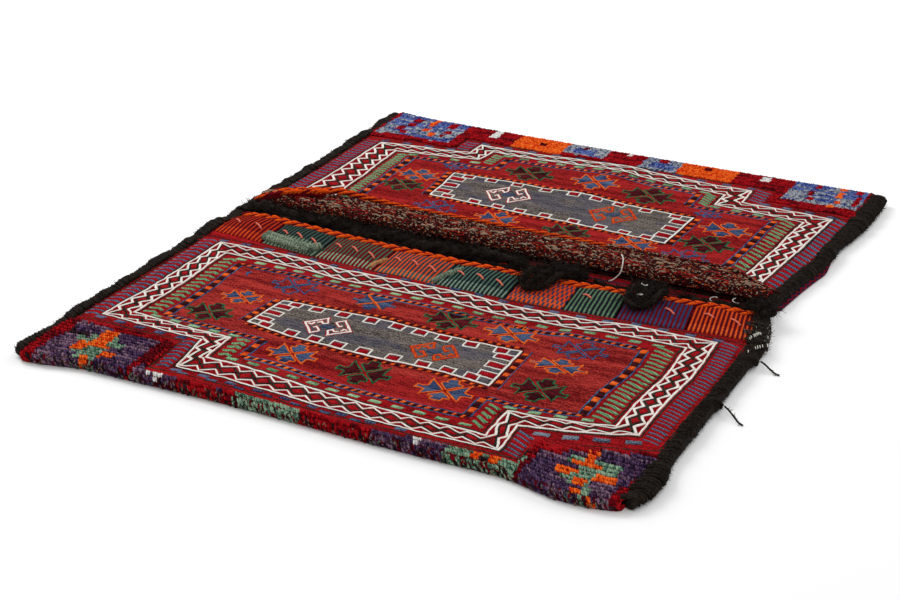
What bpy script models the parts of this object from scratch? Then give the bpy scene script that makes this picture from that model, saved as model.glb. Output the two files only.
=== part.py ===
"""A kilim saddle bag, lying empty and open on the floor.

One long woven strip is folded at both ends into two pouches that share a short bridge. The side seams are
overcast with goat hair, the mouths end in slit tabs under a chained edge cord, and goat-hair loops on the
bridge close them. The near tabs lie flat; the far tabs are turned outwards in a thick roll.

X runs across the bag, Y from the near pouch to the far one, and Z up from the floor. Lengths are in metres.
"""

import math

import bmesh
import bpy
from mathutils import Vector

# The whole bag
BAG_WIDTH = 1.06
BAG_LENGTH = 1.267
SEAM_GAP = 0.0005

# The woven strip: flat weave, knotted pile at the two bottoms, and the empty space in a pouch
CLOTH_THICK = 0.005
PILE_THICK = 0.009
POUCH_GAP = 0.009
FACE_SLACK = 0.004
PILE_CORNER_DEPTH = 0.12
PILE_BAND_DEPTH = 0.05
PILE_CORNER_WIDTH = 0.19

# The near mouth: its edge is drawn down between its corners, and slits part the tabs
NEAR_MOUTH_Y = -0.045
NEAR_CORNER_Y = -0.008
TAB_DEPTH = 0.085
TAB_BULGE = 0.006
MOUTH_RISE = 0.006
TAB_DRAW_IN = 0.0012
SLIT_WIDTH = 0.003
TAB_SHARES = (1.12, 1.12, 1.08, 1.24, 1.17, 0.97, 0.88, 1.16, 1.08)

# The far mouth: the tabs turn outwards over the face
FAR_MOUTH_Y = 0.062
ROLL_INSIDE = 0.006
FLAP_DEPTH = 0.074
FLAP_CORNER = 0.014
FLAP_LUMP = 0.003

# The right side is drawn in at the bridge, between these four places along it
BRIDGE_PINCH = 0.032
PINCH_AT = (-0.13, 0.02, 0.06, 0.26)
FAR_HOLLOW = 0.008
CORNER_ROUNDING = 0.30
CORNER_REACH = 0.07

# The overcast side seams
BINDING_WIDTH = 0.025
BINDING_HEIGHT = 0.022
BINDING_RIB = 0.16
BINDING_PITCH = 0.024
NEAR_BINDING_TOP = 0.004
FAR_BINDING_TOP = 0.012

# The chained edge cords
EDGE_CORD_THICK = 0.015
EDGE_CORD_WAIST = 0.74
EDGE_CORD_LINK = 0.020

# The goat-hair closing loops, and the plain strand beside them
LOOP_THICK = 0.011
STRAND_THICK = 0.008
LOOSE_THREAD_THICK = 0.003
WHITE_THREAD_THICK = 0.0024

# The mend over the right seam, near the mouth
MEND_THICK = 0.003
MEND_COUNT = 5
MEND_FROM_Y = -0.098
MEND_TO_Y = -0.03
MEND_ON_FACE = 0.012
MEND_CLIMB = 0.0025

# Rows of the strip's mesh in each of its stretches
ROWS = {
    "tabs": 4,
    "near_field": 7,
    "near_pile": 3,
    "near_fold": 5,
    "near_back": 5,
    "bridge": 1,
    "far_back": 1,
    "far_floor": 5,
    "far_fold": 5,
    "far_pile": 3,
    "far_field": 4,
    "under_flap": 2,
    "mouth_fold": 5,
    "flap": 4,
}

# One closing loop as it lies, drawn on a loop 100 mm long: along it, across it
LOOP_ROUTE = (
    (0.000, 0.007),
    (0.022, 0.013),
    (0.048, 0.020),
    (0.074, 0.021),
    (0.092, 0.014),
    (0.100, 0.000),
    (0.092, -0.014),
    (0.074, -0.021),
    (0.048, -0.020),
    (0.022, -0.013),
    (0.000, -0.007),
)
# Each loop on the bridge: where its sewn end is, which way it points in degrees, and its length
LOOPS_ON_BRIDGE = (
    (-0.500, 0.033, -2, 0.118),
    (-0.374, 0.031, 3, 0.098),
    (-0.268, 0.033, -3, 0.096),
    (-0.164, 0.030, 2, 0.104),
    (-0.052, 0.031, 2, 0.098),
)
# The two loops that lie over the near mouth, from sewn end to sewn end
TONGUE_LOOP = (
    (0.118, 0.045, 0.0112),
    (0.106, 0.020, 0.014),
    (0.094, -0.008, 0.029),
    (0.091, -0.037, 0.0400),
    (0.089, -0.062, 0.0380),
    (0.093, -0.084, 0.0350),
    (0.110, -0.096, 0.0340),
    (0.128, -0.084, 0.0350),
    (0.136, -0.062, 0.0380),
    (0.140, -0.037, 0.0400),
    (0.146, -0.008, 0.029),
    (0.152, 0.020, 0.014),
    (0.158, 0.045, 0.0112),
)
SIDE_LOOP = (
    (0.288, 0.040, 0.0112),
    (0.280, 0.018, 0.018),
    (0.272, -0.010, 0.0355),
    (0.271, -0.036, 0.0405),
    (0.272, -0.060, 0.0380),
    (0.281, -0.078, 0.0360),
    (0.295, -0.084, 0.0350),
    (0.309, -0.078, 0.0360),
    (0.317, -0.060, 0.0380),
    (0.318, -0.036, 0.0405),
    (0.316, -0.010, 0.0355),
    (0.308, 0.018, 0.018),
    (0.304, 0.040, 0.0112),
)
# Free strands, from their sewn ends outwards
STRAND_ROUTE = (
    (0.176, 0.036, 0.0096),
    (0.196, 0.026, 0.0096),
    (0.222, 0.022, 0.0096),
    (0.246, 0.026, 0.0096),
    (0.264, 0.027, 0.0096),
)
RIGHT_STRAND_ROUTE = (
    (0.326, 0.020, 0.0096),
    (0.350, 0.024, 0.0096),
    (0.378, 0.022, 0.0096),
    (0.406, 0.016, 0.0096),
    (0.432, 0.018, 0.0096),
    (0.456, 0.024, 0.0096),
)
UPPER_TAIL_ROUTE = (
    (0.5301, -0.143, 0.0115),
    (0.5370, -0.146, 0.0100),
    (0.547, -0.151, 0.0062),
    (0.553, -0.154, 0.0038),
    (0.559, -0.156, 0.0022),
    (0.565, -0.157, 0.0018),
)
LOWER_TAIL_ROUTE = (
    (0.5290, -0.3135, 0.0115),
    (0.5370, -0.319, 0.0100),
    (0.549, -0.329, 0.0064),
    (0.555, -0.334, 0.0040),
    (0.561, -0.338, 0.0022),
    (0.567, -0.341, 0.0018),
)
WHITE_THREAD_ROUTE = (
    (0.205, 0.084, 0.0440),
    (0.212, 0.073, 0.0425),
    (0.216, 0.062, 0.0385),
    (0.217, 0.0555, 0.0310),
    (0.215, 0.0545, 0.0230),
    (0.209, 0.0530, 0.0150),
    (0.203, 0.0500, 0.0095),
    (0.197, 0.0480, 0.0068),
)

CLOTH_HALF = BAG_WIDTH / 2 - BINDING_WIDTH - SEAM_GAP
CEILING = CLOTH_THICK + POUCH_GAP
FOLD_RADIUS = POUCH_GAP / 2
FOLD_Y = BAG_LENGTH / 2 - PILE_THICK - FOLD_RADIUS
ROLL_RADIUS = CLOTH_THICK + ROLL_INSIDE
ROLL_Y = FAR_MOUTH_Y + ROLL_RADIUS
EDGE_CORD_RADIUS = EDGE_CORD_THICK / 2


def mixed(low, high, share):
    return low + (high - low) * share


def eased(share):
    """0 before 0, 1 after 1 and a smooth rise between them."""
    share = min(max(share, 0.0), 1.0)
    return share * share * (3 - 2 * share)


def across(x):
    """1 on the middle of the bag and 0 at its side seams."""
    return 1 - min(abs(x) / CLOTH_HALF, 1.0) ** 2


def pinch_at(y):
    """How far the right side is drawn in at y."""
    start, low, high, end = PINCH_AT
    return BRIDGE_PINCH * max(0.0, min(1.0, (y - start) / (low - start), (end - y) / (end - high)))


def lie(x, y, z):
    """Where a point of the straight, square bag lies: its corners, its far fold and its right side have moved."""
    corner_x = (abs(x) - CLOTH_HALF + CORNER_REACH) / CORNER_REACH
    corner_y = (-y - BAG_LENGTH / 2 + CORNER_REACH) / CORNER_REACH
    if corner_x > 0 and corner_y > 0:
        rounding = CORNER_ROUNDING * (1.0 if x > 0 else 0.5)
        inward = min(corner_x, 1.3) ** 2
        along = min(corner_y, 1.0) ** 2
        y += CORNER_REACH * rounding * inward * corner_y * 0.5
        x -= math.copysign(CORNER_REACH * rounding * along * corner_x * 0.5, x)
    if y > 0:
        y -= FAR_HOLLOW * across(x) * eased((y - 0.3) / (FOLD_Y - 0.3))
    if x > 0:
        x -= pinch_at(y) * x / CLOTH_HALF
    return Vector((x, y, z))


def tab_columns():
    """The places across the bag of each tab's left edge, middle and right edge."""
    room = 2 * CLOTH_HALF - SLIT_WIDTH * (len(TAB_SHARES) - 1)
    left = -CLOTH_HALF
    columns = []
    for share in TAB_SHARES:
        width = room * share / sum(TAB_SHARES)
        columns += [left, left + width / 2, left + width]
        left += width + SLIT_WIDTH
    return columns


COLUMNS = tab_columns()
ROW_LIST = [("tabs", 0.0)] + [
    (stretch, (row + 1) / count) for stretch, count in ROWS.items() for row in range(count)
]


def near_mouth_y(x):
    return mixed(NEAR_CORNER_Y, NEAR_MOUTH_Y, across(x))


def mouth_rise(x):
    """How far the near mouth stands open above the pouch's side seams."""
    return MOUTH_RISE * eased(across(x) / 0.3)


def face_slack(x, y):
    """The low, slow waves of a face between its seams."""
    waves = 0.5 + 0.5 * math.sin(9 * x + 4 * y) * math.cos(13 * y - 3 * x)
    inside = eased((abs(y) - 0.16) / 0.1) * eased((FOLD_Y - 0.02 - abs(y)) / 0.1)
    return FACE_SLACK * waves * eased(across(x) / 0.25) * inside


def flap_reach(x):
    """How far the turned-out far tabs lie over the face: less and less over the first and the last tab."""
    left_share = (x + CLOTH_HALF) / (COLUMNS[2] + CLOTH_HALF)
    right_share = (CLOTH_HALF - x) / (CLOTH_HALF - COLUMNS[-3])
    return mixed(FLAP_CORNER, FLAP_DEPTH, max(0.0, min(1.0, left_share, right_share)))


def flap_rest():
    """The height of the flap's upper side where its edge lies on the face."""
    return CEILING + 2 * CLOTH_THICK + SEAM_GAP


def cloth_point(x, column, stretch, share):
    """A point of the strip's inner side, which is the reverse of the weave."""
    back_stops = (-FOLD_Y, PINCH_AT[0], PINCH_AT[1], PINCH_AT[2], FOLD_Y)
    near_edge = near_mouth_y(x)
    field_start = near_edge - TAB_DEPTH
    pile_y = BAG_LENGTH / 2 - PILE_CORNER_DEPTH
    turn = math.pi * share
    if stretch == "tabs":
        middle = TAB_BULGE if column % 3 == 1 else 0.0
        rise = mouth_rise(x) * (1 - 0.6 * share) + middle * math.sin(math.pi * (0.15 + 0.85 * share))
        drawn_in = 1 - TAB_DRAW_IN / CLOTH_HALF
        return x * drawn_in, mixed(near_edge, field_start, share), CEILING + rise
    if stretch == "near_field":
        y = mixed(field_start, -pile_y, share)
        return x, y, CEILING + face_slack(x, y) + 0.4 * mouth_rise(x) * (1 - eased(share * 3))
    if stretch == "near_pile":
        y = mixed(-pile_y, -FOLD_Y, share)
        return x, y, CEILING + face_slack(x, y)
    if stretch == "near_fold":
        return x, -FOLD_Y - FOLD_RADIUS * math.sin(turn), CLOTH_THICK + FOLD_RADIUS * (1 + math.cos(turn))
    if stretch == "near_back":
        return x, mixed(back_stops[0], back_stops[1], share), CLOTH_THICK
    if stretch == "bridge":
        return x, mixed(back_stops[1], back_stops[2], share), CLOTH_THICK
    if stretch == "far_back":
        return x, mixed(back_stops[2], back_stops[3], share), CLOTH_THICK
    if stretch == "far_floor":
        first = 1 / ROWS["far_floor"]
        if share <= first:
            return x, mixed(back_stops[3], PINCH_AT[3], share / first), CLOTH_THICK
        return x, mixed(PINCH_AT[3], back_stops[4], (share - first) / (1 - first)), CLOTH_THICK
    if stretch == "far_fold":
        return x, FOLD_Y + FOLD_RADIUS * math.sin(turn), CLOTH_THICK + FOLD_RADIUS * (1 - math.cos(turn))
    if stretch == "far_pile":
        y = mixed(FOLD_Y, pile_y, share)
        return x, y, CEILING + face_slack(x, y)
    if stretch == "far_field":
        y = mixed(pile_y, PINCH_AT[3], share)
        return x, y, CEILING + face_slack(x, y)
    if stretch == "under_flap":
        y = mixed(PINCH_AT[3], ROLL_Y, share)
        return x, y, CEILING + face_slack(x, y)
    if stretch == "mouth_fold":
        return x, ROLL_Y - ROLL_RADIUS * math.sin(turn), CEILING + ROLL_RADIUS * (1 - math.cos(turn))
    lump = FLAP_LUMP * (0.5 + 0.5 * math.sin(23 * x)) * math.sin(math.pi * share)
    fall = mixed(CEILING + 2 * ROLL_RADIUS, flap_rest(), 1 - math.cos(math.pi / 2 * share))
    return x, ROLL_Y + flap_reach(x) * share, fall + lump


def pile_share(x, stretch, share):
    """1 where the strip carries knotted pile and 0 where it is flat weave."""
    corner = abs(x) > CLOTH_HALF - PILE_CORNER_WIDTH
    if stretch in ("near_pile", "far_pile"):
        depth = BAG_LENGTH / 2 - abs(cloth_point(x, 0, stretch, share)[1])
        return 1.0 if corner or depth < PILE_BAND_DEPTH else 0.0
    if stretch == "near_fold":
        return eased(2 * (1 - share))
    if stretch == "far_fold":
        return eased(2 * share)
    return 0.0


def material(name, colour, roughness):
    """One plain finish."""
    made = bpy.data.materials.new(name)
    made.use_nodes = True
    shader = made.node_tree.nodes["Principled BSDF"]
    shader.inputs["Base Color"].default_value = (*colour, 1.0)
    shader.inputs["Roughness"].default_value = roughness
    shader.inputs["Metallic"].default_value = 0.0
    return made


def add_object(name, mesh, finish):
    """An object of the bag, standing on the bag's origin."""
    made = bpy.data.objects.new(name, mesh)
    made.data.materials.append(finish)
    made.parent = origin
    bag.objects.link(made)
    return made


def woven_strip(name, finish):
    """The strip: a grid laid along the folded path, with its slits cut out, made solid towards its face."""
    mesh = bpy.data.meshes.new(name)
    grid = bmesh.new()
    columns = len(COLUMNS) - 1
    rows = len(ROW_LIST) - 1
    weights = grid.verts.layers.deform.verify()
    bmesh.ops.create_grid(grid, x_segments=columns, y_segments=rows, size=1.0)
    places = {}
    for vertex in grid.verts:
        column = round((vertex.co.x + 1) / 2 * columns)
        row = round((vertex.co.y + 1) / 2 * rows)
        places[vertex] = (column, row)
        vertex.co = lie(*cloth_point(COLUMNS[column], column, *ROW_LIST[row]))
    slits = [
        face
        for face in grid.faces
        if min(places[vertex][0] for vertex in face.verts) % 3 == 2
        and max(places[vertex][1] for vertex in face.verts) <= ROWS["tabs"]
    ]
    for vertex, (column, row) in places.items():
        vertex[weights][0] = pile_share(COLUMNS[column], *ROW_LIST[row])
    bmesh.ops.delete(grid, geom=slits, context="FACES")
    grid.to_mesh(mesh)
    grid.free()
    strip = add_object(name, mesh, finish)
    strip.vertex_groups.new(name="pile")
    solid = strip.modifiers.new("weave", "SOLIDIFY")
    solid.thickness = PILE_THICK
    solid.vertex_group = "pile"
    solid.thickness_vertex_group = CLOTH_THICK / PILE_THICK
    solid.offset = -1.0
    solid.use_even_offset = True
    solid.use_quality_normals = True
    return strip


def rolled_tube(name, rings, sides, place, finish):
    """A grid rolled up into a tube with closed ends; place gives the point of a ring and a side."""
    mesh = bpy.data.meshes.new(name)
    grid = bmesh.new()
    bmesh.ops.create_grid(grid, x_segments=rings - 1, y_segments=sides, size=1.0)
    for vertex in grid.verts:
        ring = round((vertex.co.x + 1) / 2 * (rings - 1))
        side = round((vertex.co.y + 1) / 2 * sides) % sides
        vertex.co = place(ring, side)
    bmesh.ops.remove_doubles(grid, verts=grid.verts, dist=1e-6)
    ends = [edge for edge in grid.edges if edge.is_boundary]
    bmesh.ops.holes_fill(grid, edges=ends, sides=sides)
    bmesh.ops.recalc_face_normals(grid, faces=grid.faces)
    grid.to_mesh(mesh)
    grid.free()
    return add_object(name, mesh, finish)


def side_binding(name, side, stops, finish):
    """An overcast seam: ribs of goat hair whose flat inner side stands against the cloth's edges."""
    section = ((0.0, 0.0), (0.0, 0.92), (0.35, 1.0), (0.8, 0.82), (1.0, 0.42), (0.82, 0.0))
    along = [stops[0]]
    for start, end in zip(stops, stops[1:]):
        steps = max(1, round(abs(end - start) / (BINDING_PITCH / 2)))
        along += [mixed(start, end, (step + 1) / steps) for step in range(steps)]

    def place(ring, corner):
        out, up = section[corner]
        swell = 1 - BINDING_RIB * (ring % 2)
        if ring in (0, len(along) - 1):
            swell = 0.7
        x = side * (CLOTH_HALF + SEAM_GAP + out * BINDING_WIDTH * swell)
        return lie(x, along[ring], up * BINDING_HEIGHT * swell)

    return rolled_tube(name, len(along), len(section), place, finish)


def edge_cord(name, centre, finish):
    """A chained cord along a mouth: one swelling to each link; centre gives its line at x."""
    sides = 6
    reach = CLOTH_HALF - EDGE_CORD_RADIUS / 2
    rings = 2 * round(2 * reach / EDGE_CORD_LINK) + 1

    def place(ring, side):
        x = mixed(-reach, reach, ring / (rings - 1))
        radius = EDGE_CORD_RADIUS * (1.0 if ring % 2 else EDGE_CORD_WAIST)
        angle = 2 * math.pi * (side + 0.25 * (ring % 4)) / sides
        y, z = centre(x)
        return lie(x, y + radius * math.cos(angle), z + radius * math.sin(angle))

    return rolled_tube(name, rings, sides, place, finish)


def near_cord_centre(x):
    slope = abs(near_mouth_y(x + 0.001) - near_mouth_y(x - 0.001)) / 0.002
    clear = (EDGE_CORD_RADIUS + SEAM_GAP) * math.sqrt(1 + min(slope, 1.0) ** 2)
    return near_mouth_y(x) + clear, CEILING + CLOTH_THICK / 2 + mouth_rise(x)


def far_cord_centre(x):
    slope = (FLAP_DEPTH - FLAP_CORNER) / (COLUMNS[2] - COLUMNS[0])
    clear = (EDGE_CORD_RADIUS + SEAM_GAP) * math.sqrt(1 + slope * slope)
    return ROLL_Y + flap_reach(x) + clear, CEILING + CLOTH_THICK + SEAM_GAP + EDGE_CORD_RADIUS


def smooth_line(points, step):
    """Points about a step apart on a smooth curve through the route's own points."""
    points = [Vector(point) for point in points]
    padded = [2 * points[0] - points[1], *points, 2 * points[-1] - points[-2]]
    line = [points[0]]
    for before, start, end, after in zip(padded, padded[1:], padded[2:], padded[3:]):
        pieces = max(1, round((end - start).length / step))
        for piece in range(1, pieces + 1):
            t = piece / pieces
            line.append(
                0.5
                * (
                    2 * start
                    + (end - before) * t
                    + (2 * before - 5 * start + 4 * end - after) * t**2
                    + (3 * start - before - 3 * end + after) * t**3
                )
            )
    return line


def rope(name, points, thick, finish, resolution=2):
    """A plain round tube along a route, with filled ends."""
    curve = bpy.data.curves.new(name, "CURVE")
    curve.dimensions = "3D"
    curve.bevel_depth = thick / 2
    curve.bevel_resolution = resolution
    curve.use_fill_caps = True
    line = smooth_line(points, 2.2 * thick)
    spline = curve.splines.new("POLY")
    spline.points.add(len(line) - 1)
    for point, place in zip(spline.points, line):
        point.co = (*place, 1.0)
    return add_object(name, curve, finish)


def bridge_loop_points(x, y, degrees, length):
    """The loop's route, set at its sewn end and turned on the bridge."""
    turn = math.radians(degrees)
    height = CLOTH_THICK + SEAM_GAP + LOOP_THICK / 2
    points = []
    for along, aside in LOOP_ROUTE:
        along *= length / 0.100
        points.append(
            (
                x + along * math.cos(turn) - aside * math.sin(turn),
                y + along * math.sin(turn) + aside * math.cos(turn),
                height,
            )
        )
    return points


def mend_line():
    """The mending thread's way: over the right seam and back, a step further along each time."""
    clear = MEND_THICK / 2 + SEAM_GAP
    outer = CLOTH_HALF + SEAM_GAP + BINDING_WIDTH + clear
    top = BINDING_HEIGHT + clear
    over = (
        (CLOTH_HALF - MEND_ON_FACE, CEILING + CLOTH_THICK + clear + MEND_CLIMB),
        (CLOTH_HALF, top),
        (CLOTH_HALF + BINDING_WIDTH / 2, top),
        (outer - 0.1 * BINDING_WIDTH, top - 0.1 * BINDING_HEIGHT),
        (outer, BINDING_HEIGHT / 2),
        (outer, 2 * MEND_THICK),
    )
    step = (MEND_TO_Y - MEND_FROM_Y) / (MEND_COUNT - 0.5)
    line = []
    for turn in range(MEND_COUNT):
        way = over if turn % 2 == 0 else over[::-1]
        for place, (x, z) in enumerate(way):
            y = MEND_FROM_Y + step * (turn + 0.5 * place / (len(way) - 1))
            line.append(lie(x, y, z))
    return line


for old in list(bpy.data.objects):
    bpy.data.objects.remove(old, do_unlink=True)

bag = bpy.data.collections.new("kilim_saddle_bag")
bpy.context.scene.collection.children.link(bag)
origin = bpy.data.objects.new("bag_origin", None)
bag.objects.link(origin)

red_wool = material("red_wool", (0.26, 0.02, 0.03), 0.9)
goat_hair = material("goat_hair", (0.012, 0.010, 0.010), 0.85)
orange_wool = material("orange_wool", (0.75, 0.10, 0.02), 0.9)
mending_thread = material("mending_thread", (0.35, 0.33, 0.30), 0.9)
white_thread = material("white_thread", (0.80, 0.78, 0.72), 0.9)

cloth = woven_strip("woven_cloth", red_wool)

near_stops = (-FOLD_Y, PINCH_AT[0], NEAR_BINDING_TOP)
far_stops = (FAR_BINDING_TOP, PINCH_AT[1], PINCH_AT[2], PINCH_AT[3], FOLD_Y)
for side_name, side in (("left", -1), ("right", 1)):
    side_binding("near_binding_" + side_name, side, near_stops, goat_hair)
    side_binding("far_binding_" + side_name, side, far_stops, goat_hair)

edge_cord("near_edge_cord", near_cord_centre, orange_wool)
edge_cord("far_edge_cord", far_cord_centre, orange_wool)

for number, (x, y, degrees, length) in enumerate(LOOPS_ON_BRIDGE, 1):
    rope(f"closing_loop_{number}", bridge_loop_points(x, y, degrees, length), LOOP_THICK, goat_hair)
rope("tongue_loop", TONGUE_LOOP, LOOP_THICK, goat_hair)
rope("side_loop", SIDE_LOOP, LOOP_THICK, goat_hair)
rope("middle_strand", STRAND_ROUTE, STRAND_THICK, goat_hair)
rope("right_strand", RIGHT_STRAND_ROUTE, STRAND_THICK, goat_hair)

rope("mend_thread", mend_line(), MEND_THICK, mending_thread)
rope("upper_thread_tail", UPPER_TAIL_ROUTE, LOOSE_THREAD_THICK, goat_hair)
rope("lower_thread_tail", LOWER_TAIL_ROUTE, LOOSE_THREAD_THICK, goat_hair)
rope("white_thread", WHITE_THREAD_ROUTE, WHITE_THREAD_THICK, white_thread)
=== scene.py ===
"""The looks of a kilim saddle bag that lies empty and open on a pale floor.

The sections follow the bag as it is put together: the goat-hair loops and loose threads, the woven strip,
its patterned bands and figures, the knotted pile, the slit tabs with their curls and stitches, the chained
cords, the turned-out roll, the overcast seams, the matted hair, the back's selvedge and the mend.
X runs across the bag, Y from the near pouch to the far one. Lengths are metres, and those of the patterns
are millimetres.
"""

import math
import random

import bpy
from mathutils import Matrix, Vector, noise


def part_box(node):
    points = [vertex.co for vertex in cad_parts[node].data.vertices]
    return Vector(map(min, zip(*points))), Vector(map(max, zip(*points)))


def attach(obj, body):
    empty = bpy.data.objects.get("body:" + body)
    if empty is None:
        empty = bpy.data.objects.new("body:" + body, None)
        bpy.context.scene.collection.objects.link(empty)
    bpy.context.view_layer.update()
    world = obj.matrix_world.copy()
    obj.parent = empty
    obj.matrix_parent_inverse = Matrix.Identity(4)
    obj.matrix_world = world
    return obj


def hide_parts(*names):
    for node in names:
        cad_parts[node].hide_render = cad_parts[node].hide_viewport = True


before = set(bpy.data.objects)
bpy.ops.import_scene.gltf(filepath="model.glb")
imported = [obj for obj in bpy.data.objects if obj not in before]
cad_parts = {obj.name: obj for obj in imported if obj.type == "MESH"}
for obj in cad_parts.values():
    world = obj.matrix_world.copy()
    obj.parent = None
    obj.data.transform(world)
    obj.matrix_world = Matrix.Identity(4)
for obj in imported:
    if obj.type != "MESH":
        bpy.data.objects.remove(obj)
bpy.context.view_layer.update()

# The view: a camera to the right of the near pouch, above it, on a long lens, in a plain pale studio.
# The floor and the world are near white, and soft lamps stand to the left and behind.
PICTURE_WIDTH = 900
FOCAL_PIXELS = 1982.3
CAMERA_PLACE = Vector((1.3097, -2.8587, 1.3746))
CAMERA_YAW = math.radians(-25.94)
CAMERA_PITCH = math.radians(24.39)
CAMERA_ROLL = math.radians(0.50)

camera_data = bpy.data.cameras.new("photograph_view")
camera_data.sensor_width = 36.0
camera_data.lens = FOCAL_PIXELS / PICTURE_WIDTH * camera_data.sensor_width
camera_data.clip_end = 50.0
camera = bpy.data.objects.new("photograph_view", camera_data)
bpy.context.scene.collection.objects.link(camera)
bpy.context.scene.camera = camera
ahead = Vector(
    (
        math.sin(CAMERA_YAW) * math.cos(CAMERA_PITCH),
        math.cos(CAMERA_YAW) * math.cos(CAMERA_PITCH),
        -math.sin(CAMERA_PITCH),
    )
)
level = Vector((math.cos(CAMERA_YAW), -math.sin(CAMERA_YAW), 0))
above = level.cross(ahead)
right_way = math.cos(CAMERA_ROLL) * level + math.sin(CAMERA_ROLL) * above
up_way = -math.sin(CAMERA_ROLL) * level + math.cos(CAMERA_ROLL) * above
turned = Matrix((right_way, up_way, -ahead)).transposed().to_4x4()
camera.matrix_world = Matrix.Translation(CAMERA_PLACE) @ turned

bpy.context.scene.view_settings.view_transform = "Standard"

FLOOR_WHITE = 0.93
WORLD_STRENGTH = 0.62
floor_mesh = bpy.data.meshes.new("studio_floor")
floor_mesh.from_pydata([(-6, -6, 0), (6, -6, 0), (6, 6, 0), (-6, 6, 0)], [], [(0, 1, 2, 3)])
studio_floor = bpy.data.objects.new("studio_floor", floor_mesh)
bpy.context.scene.collection.objects.link(studio_floor)
floor_paint = bpy.data.materials.new("floor_paint")
floor_paint.use_nodes = True
floor_shader = floor_paint.node_tree.nodes["Principled BSDF"]
floor_shader.inputs["Base Color"].default_value = (FLOOR_WHITE, FLOOR_WHITE, FLOOR_WHITE, 1)
floor_shader.inputs["Roughness"].default_value = 0.8
floor_mesh.materials.append(floor_paint)

studio_air = bpy.data.worlds.new("studio_air")
studio_air.use_nodes = True
air_nodes = studio_air.node_tree.nodes
air_links = studio_air.node_tree.links
air_light = air_nodes["Background"]
air_light.inputs["Color"].default_value = (1, 1, 1, 1)
air_light.inputs["Strength"].default_value = WORLD_STRENGTH
seen_air = air_nodes.new("ShaderNodeBackground")
seen_air.inputs["Color"].default_value = (1, 1, 1, 1)
ray_kind = air_nodes.new("ShaderNodeLightPath")
air_choice = air_nodes.new("ShaderNodeMixShader")
air_links.new(ray_kind.outputs["Is Camera Ray"], air_choice.inputs[0])
air_links.new(air_light.outputs[0], air_choice.inputs[1])
air_links.new(seen_air.outputs[0], air_choice.inputs[2])
air_links.new(air_choice.outputs[0], air_nodes["World Output"].inputs["Surface"])
bpy.context.scene.world = studio_air

LAMPS = (
    ("left_lamp", (-2.4, 0.6, 2.6), 1.6, 62),
    ("back_lamp", (1.2, 2.8, 2.4), 1.6, 34),
    ("front_lamp", (1.6, -2.6, 3.0), 1.4, 26),
)
for lamp_name, lamp_place, lamp_size, lamp_power in LAMPS:
    lamp_data = bpy.data.lights.new(lamp_name, "AREA")
    lamp_data.size = lamp_size
    lamp_data.energy = lamp_power
    lamp = bpy.data.objects.new(lamp_name, lamp_data)
    bpy.context.scene.collection.objects.link(lamp)
    lamp.location = lamp_place
    lamp.rotation_mode = "QUATERNION"
    lamp.rotation_quaternion = (-Vector(lamp_place)).to_track_quat("-Z", "Y")

# The closing loops and strands: two-ply cords of black goat hair, sewn to the bridge between the pouches.
# Five lie on the bridge, and two longer ones hang over the near mouth. Each is limp and bristles with hairs.
CLOTH_THICK = 0.005
SEAM_GAP = 0.0005
LOOP_THICK = 0.011
STRAND_THICK = 0.008
THREAD_THICK = 0.003
WHITE_THREAD_THICK = 0.0024
LOOP_ROUTE = (
    (0.000, 0.007), (0.022, 0.013), (0.048, 0.020), (0.074, 0.021),
    (0.092, 0.014), (0.100, 0.000), (0.092, -0.014), (0.074, -0.021),
    (0.048, -0.020), (0.022, -0.013), (0.000, -0.007),
)
# Each loop on the bridge: where its sewn end is, which way it points in degrees, and its length
LOOPS_ON_BRIDGE = (
    (-0.500, 0.033, -2, 0.118),
    (-0.374, 0.031, 3, 0.098),
    (-0.268, 0.033, -3, 0.096),
    (-0.164, 0.030, 2, 0.104),
    (-0.052, 0.031, 2, 0.098),
)
LOOP_ROUTE_LENGTH = 0.1
TAIL_FUZZ = 8
TAIL_HAIRS = (0.002, 0.006)
TONGUE_LOOP = (
    (0.118, 0.045, 0.0112), (0.106, 0.020, 0.014), (0.094, -0.008, 0.029), (0.091, -0.037, 0.0400),
    (0.089, -0.062, 0.0380), (0.093, -0.084, 0.0350), (0.110, -0.096, 0.0340), (0.128, -0.084, 0.0350),
    (0.136, -0.062, 0.0380), (0.140, -0.037, 0.0400), (0.146, -0.008, 0.029), (0.152, 0.020, 0.014),
    (0.158, 0.045, 0.0112),
)
SIDE_LOOP = (
    (0.288, 0.040, 0.0112), (0.280, 0.018, 0.018), (0.272, -0.010, 0.0355), (0.271, -0.036, 0.0405),
    (0.272, -0.060, 0.0380), (0.281, -0.078, 0.0360), (0.295, -0.084, 0.0350), (0.309, -0.078, 0.0360),
    (0.317, -0.060, 0.0380), (0.318, -0.036, 0.0405), (0.316, -0.010, 0.0355), (0.308, 0.018, 0.018),
    (0.304, 0.040, 0.0112),
)
STRAND_ROUTE = (
    (0.176, 0.036, 0.0096), (0.196, 0.026, 0.0096), (0.222, 0.022, 0.0096), (0.246, 0.026, 0.0096),
    (0.264, 0.027, 0.0096),
)
RIGHT_STRAND_ROUTE = (
    (0.326, 0.020, 0.0096), (0.350, 0.024, 0.0096), (0.378, 0.022, 0.0096), (0.406, 0.016, 0.0096),
    (0.432, 0.018, 0.0096), (0.456, 0.024, 0.0096),
)
UPPER_TAIL_ROUTE = (
    (0.5301, -0.143, 0.0115), (0.5370, -0.146, 0.0100), (0.547, -0.151, 0.0062), (0.553, -0.154, 0.0038),
    (0.559, -0.156, 0.0022), (0.565, -0.157, 0.0018),
)
LOWER_TAIL_ROUTE = (
    (0.5290, -0.3135, 0.0115), (0.5370, -0.319, 0.0100), (0.549, -0.329, 0.0064), (0.555, -0.334, 0.0040),
    (0.561, -0.338, 0.0022), (0.567, -0.341, 0.0018),
)
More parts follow.
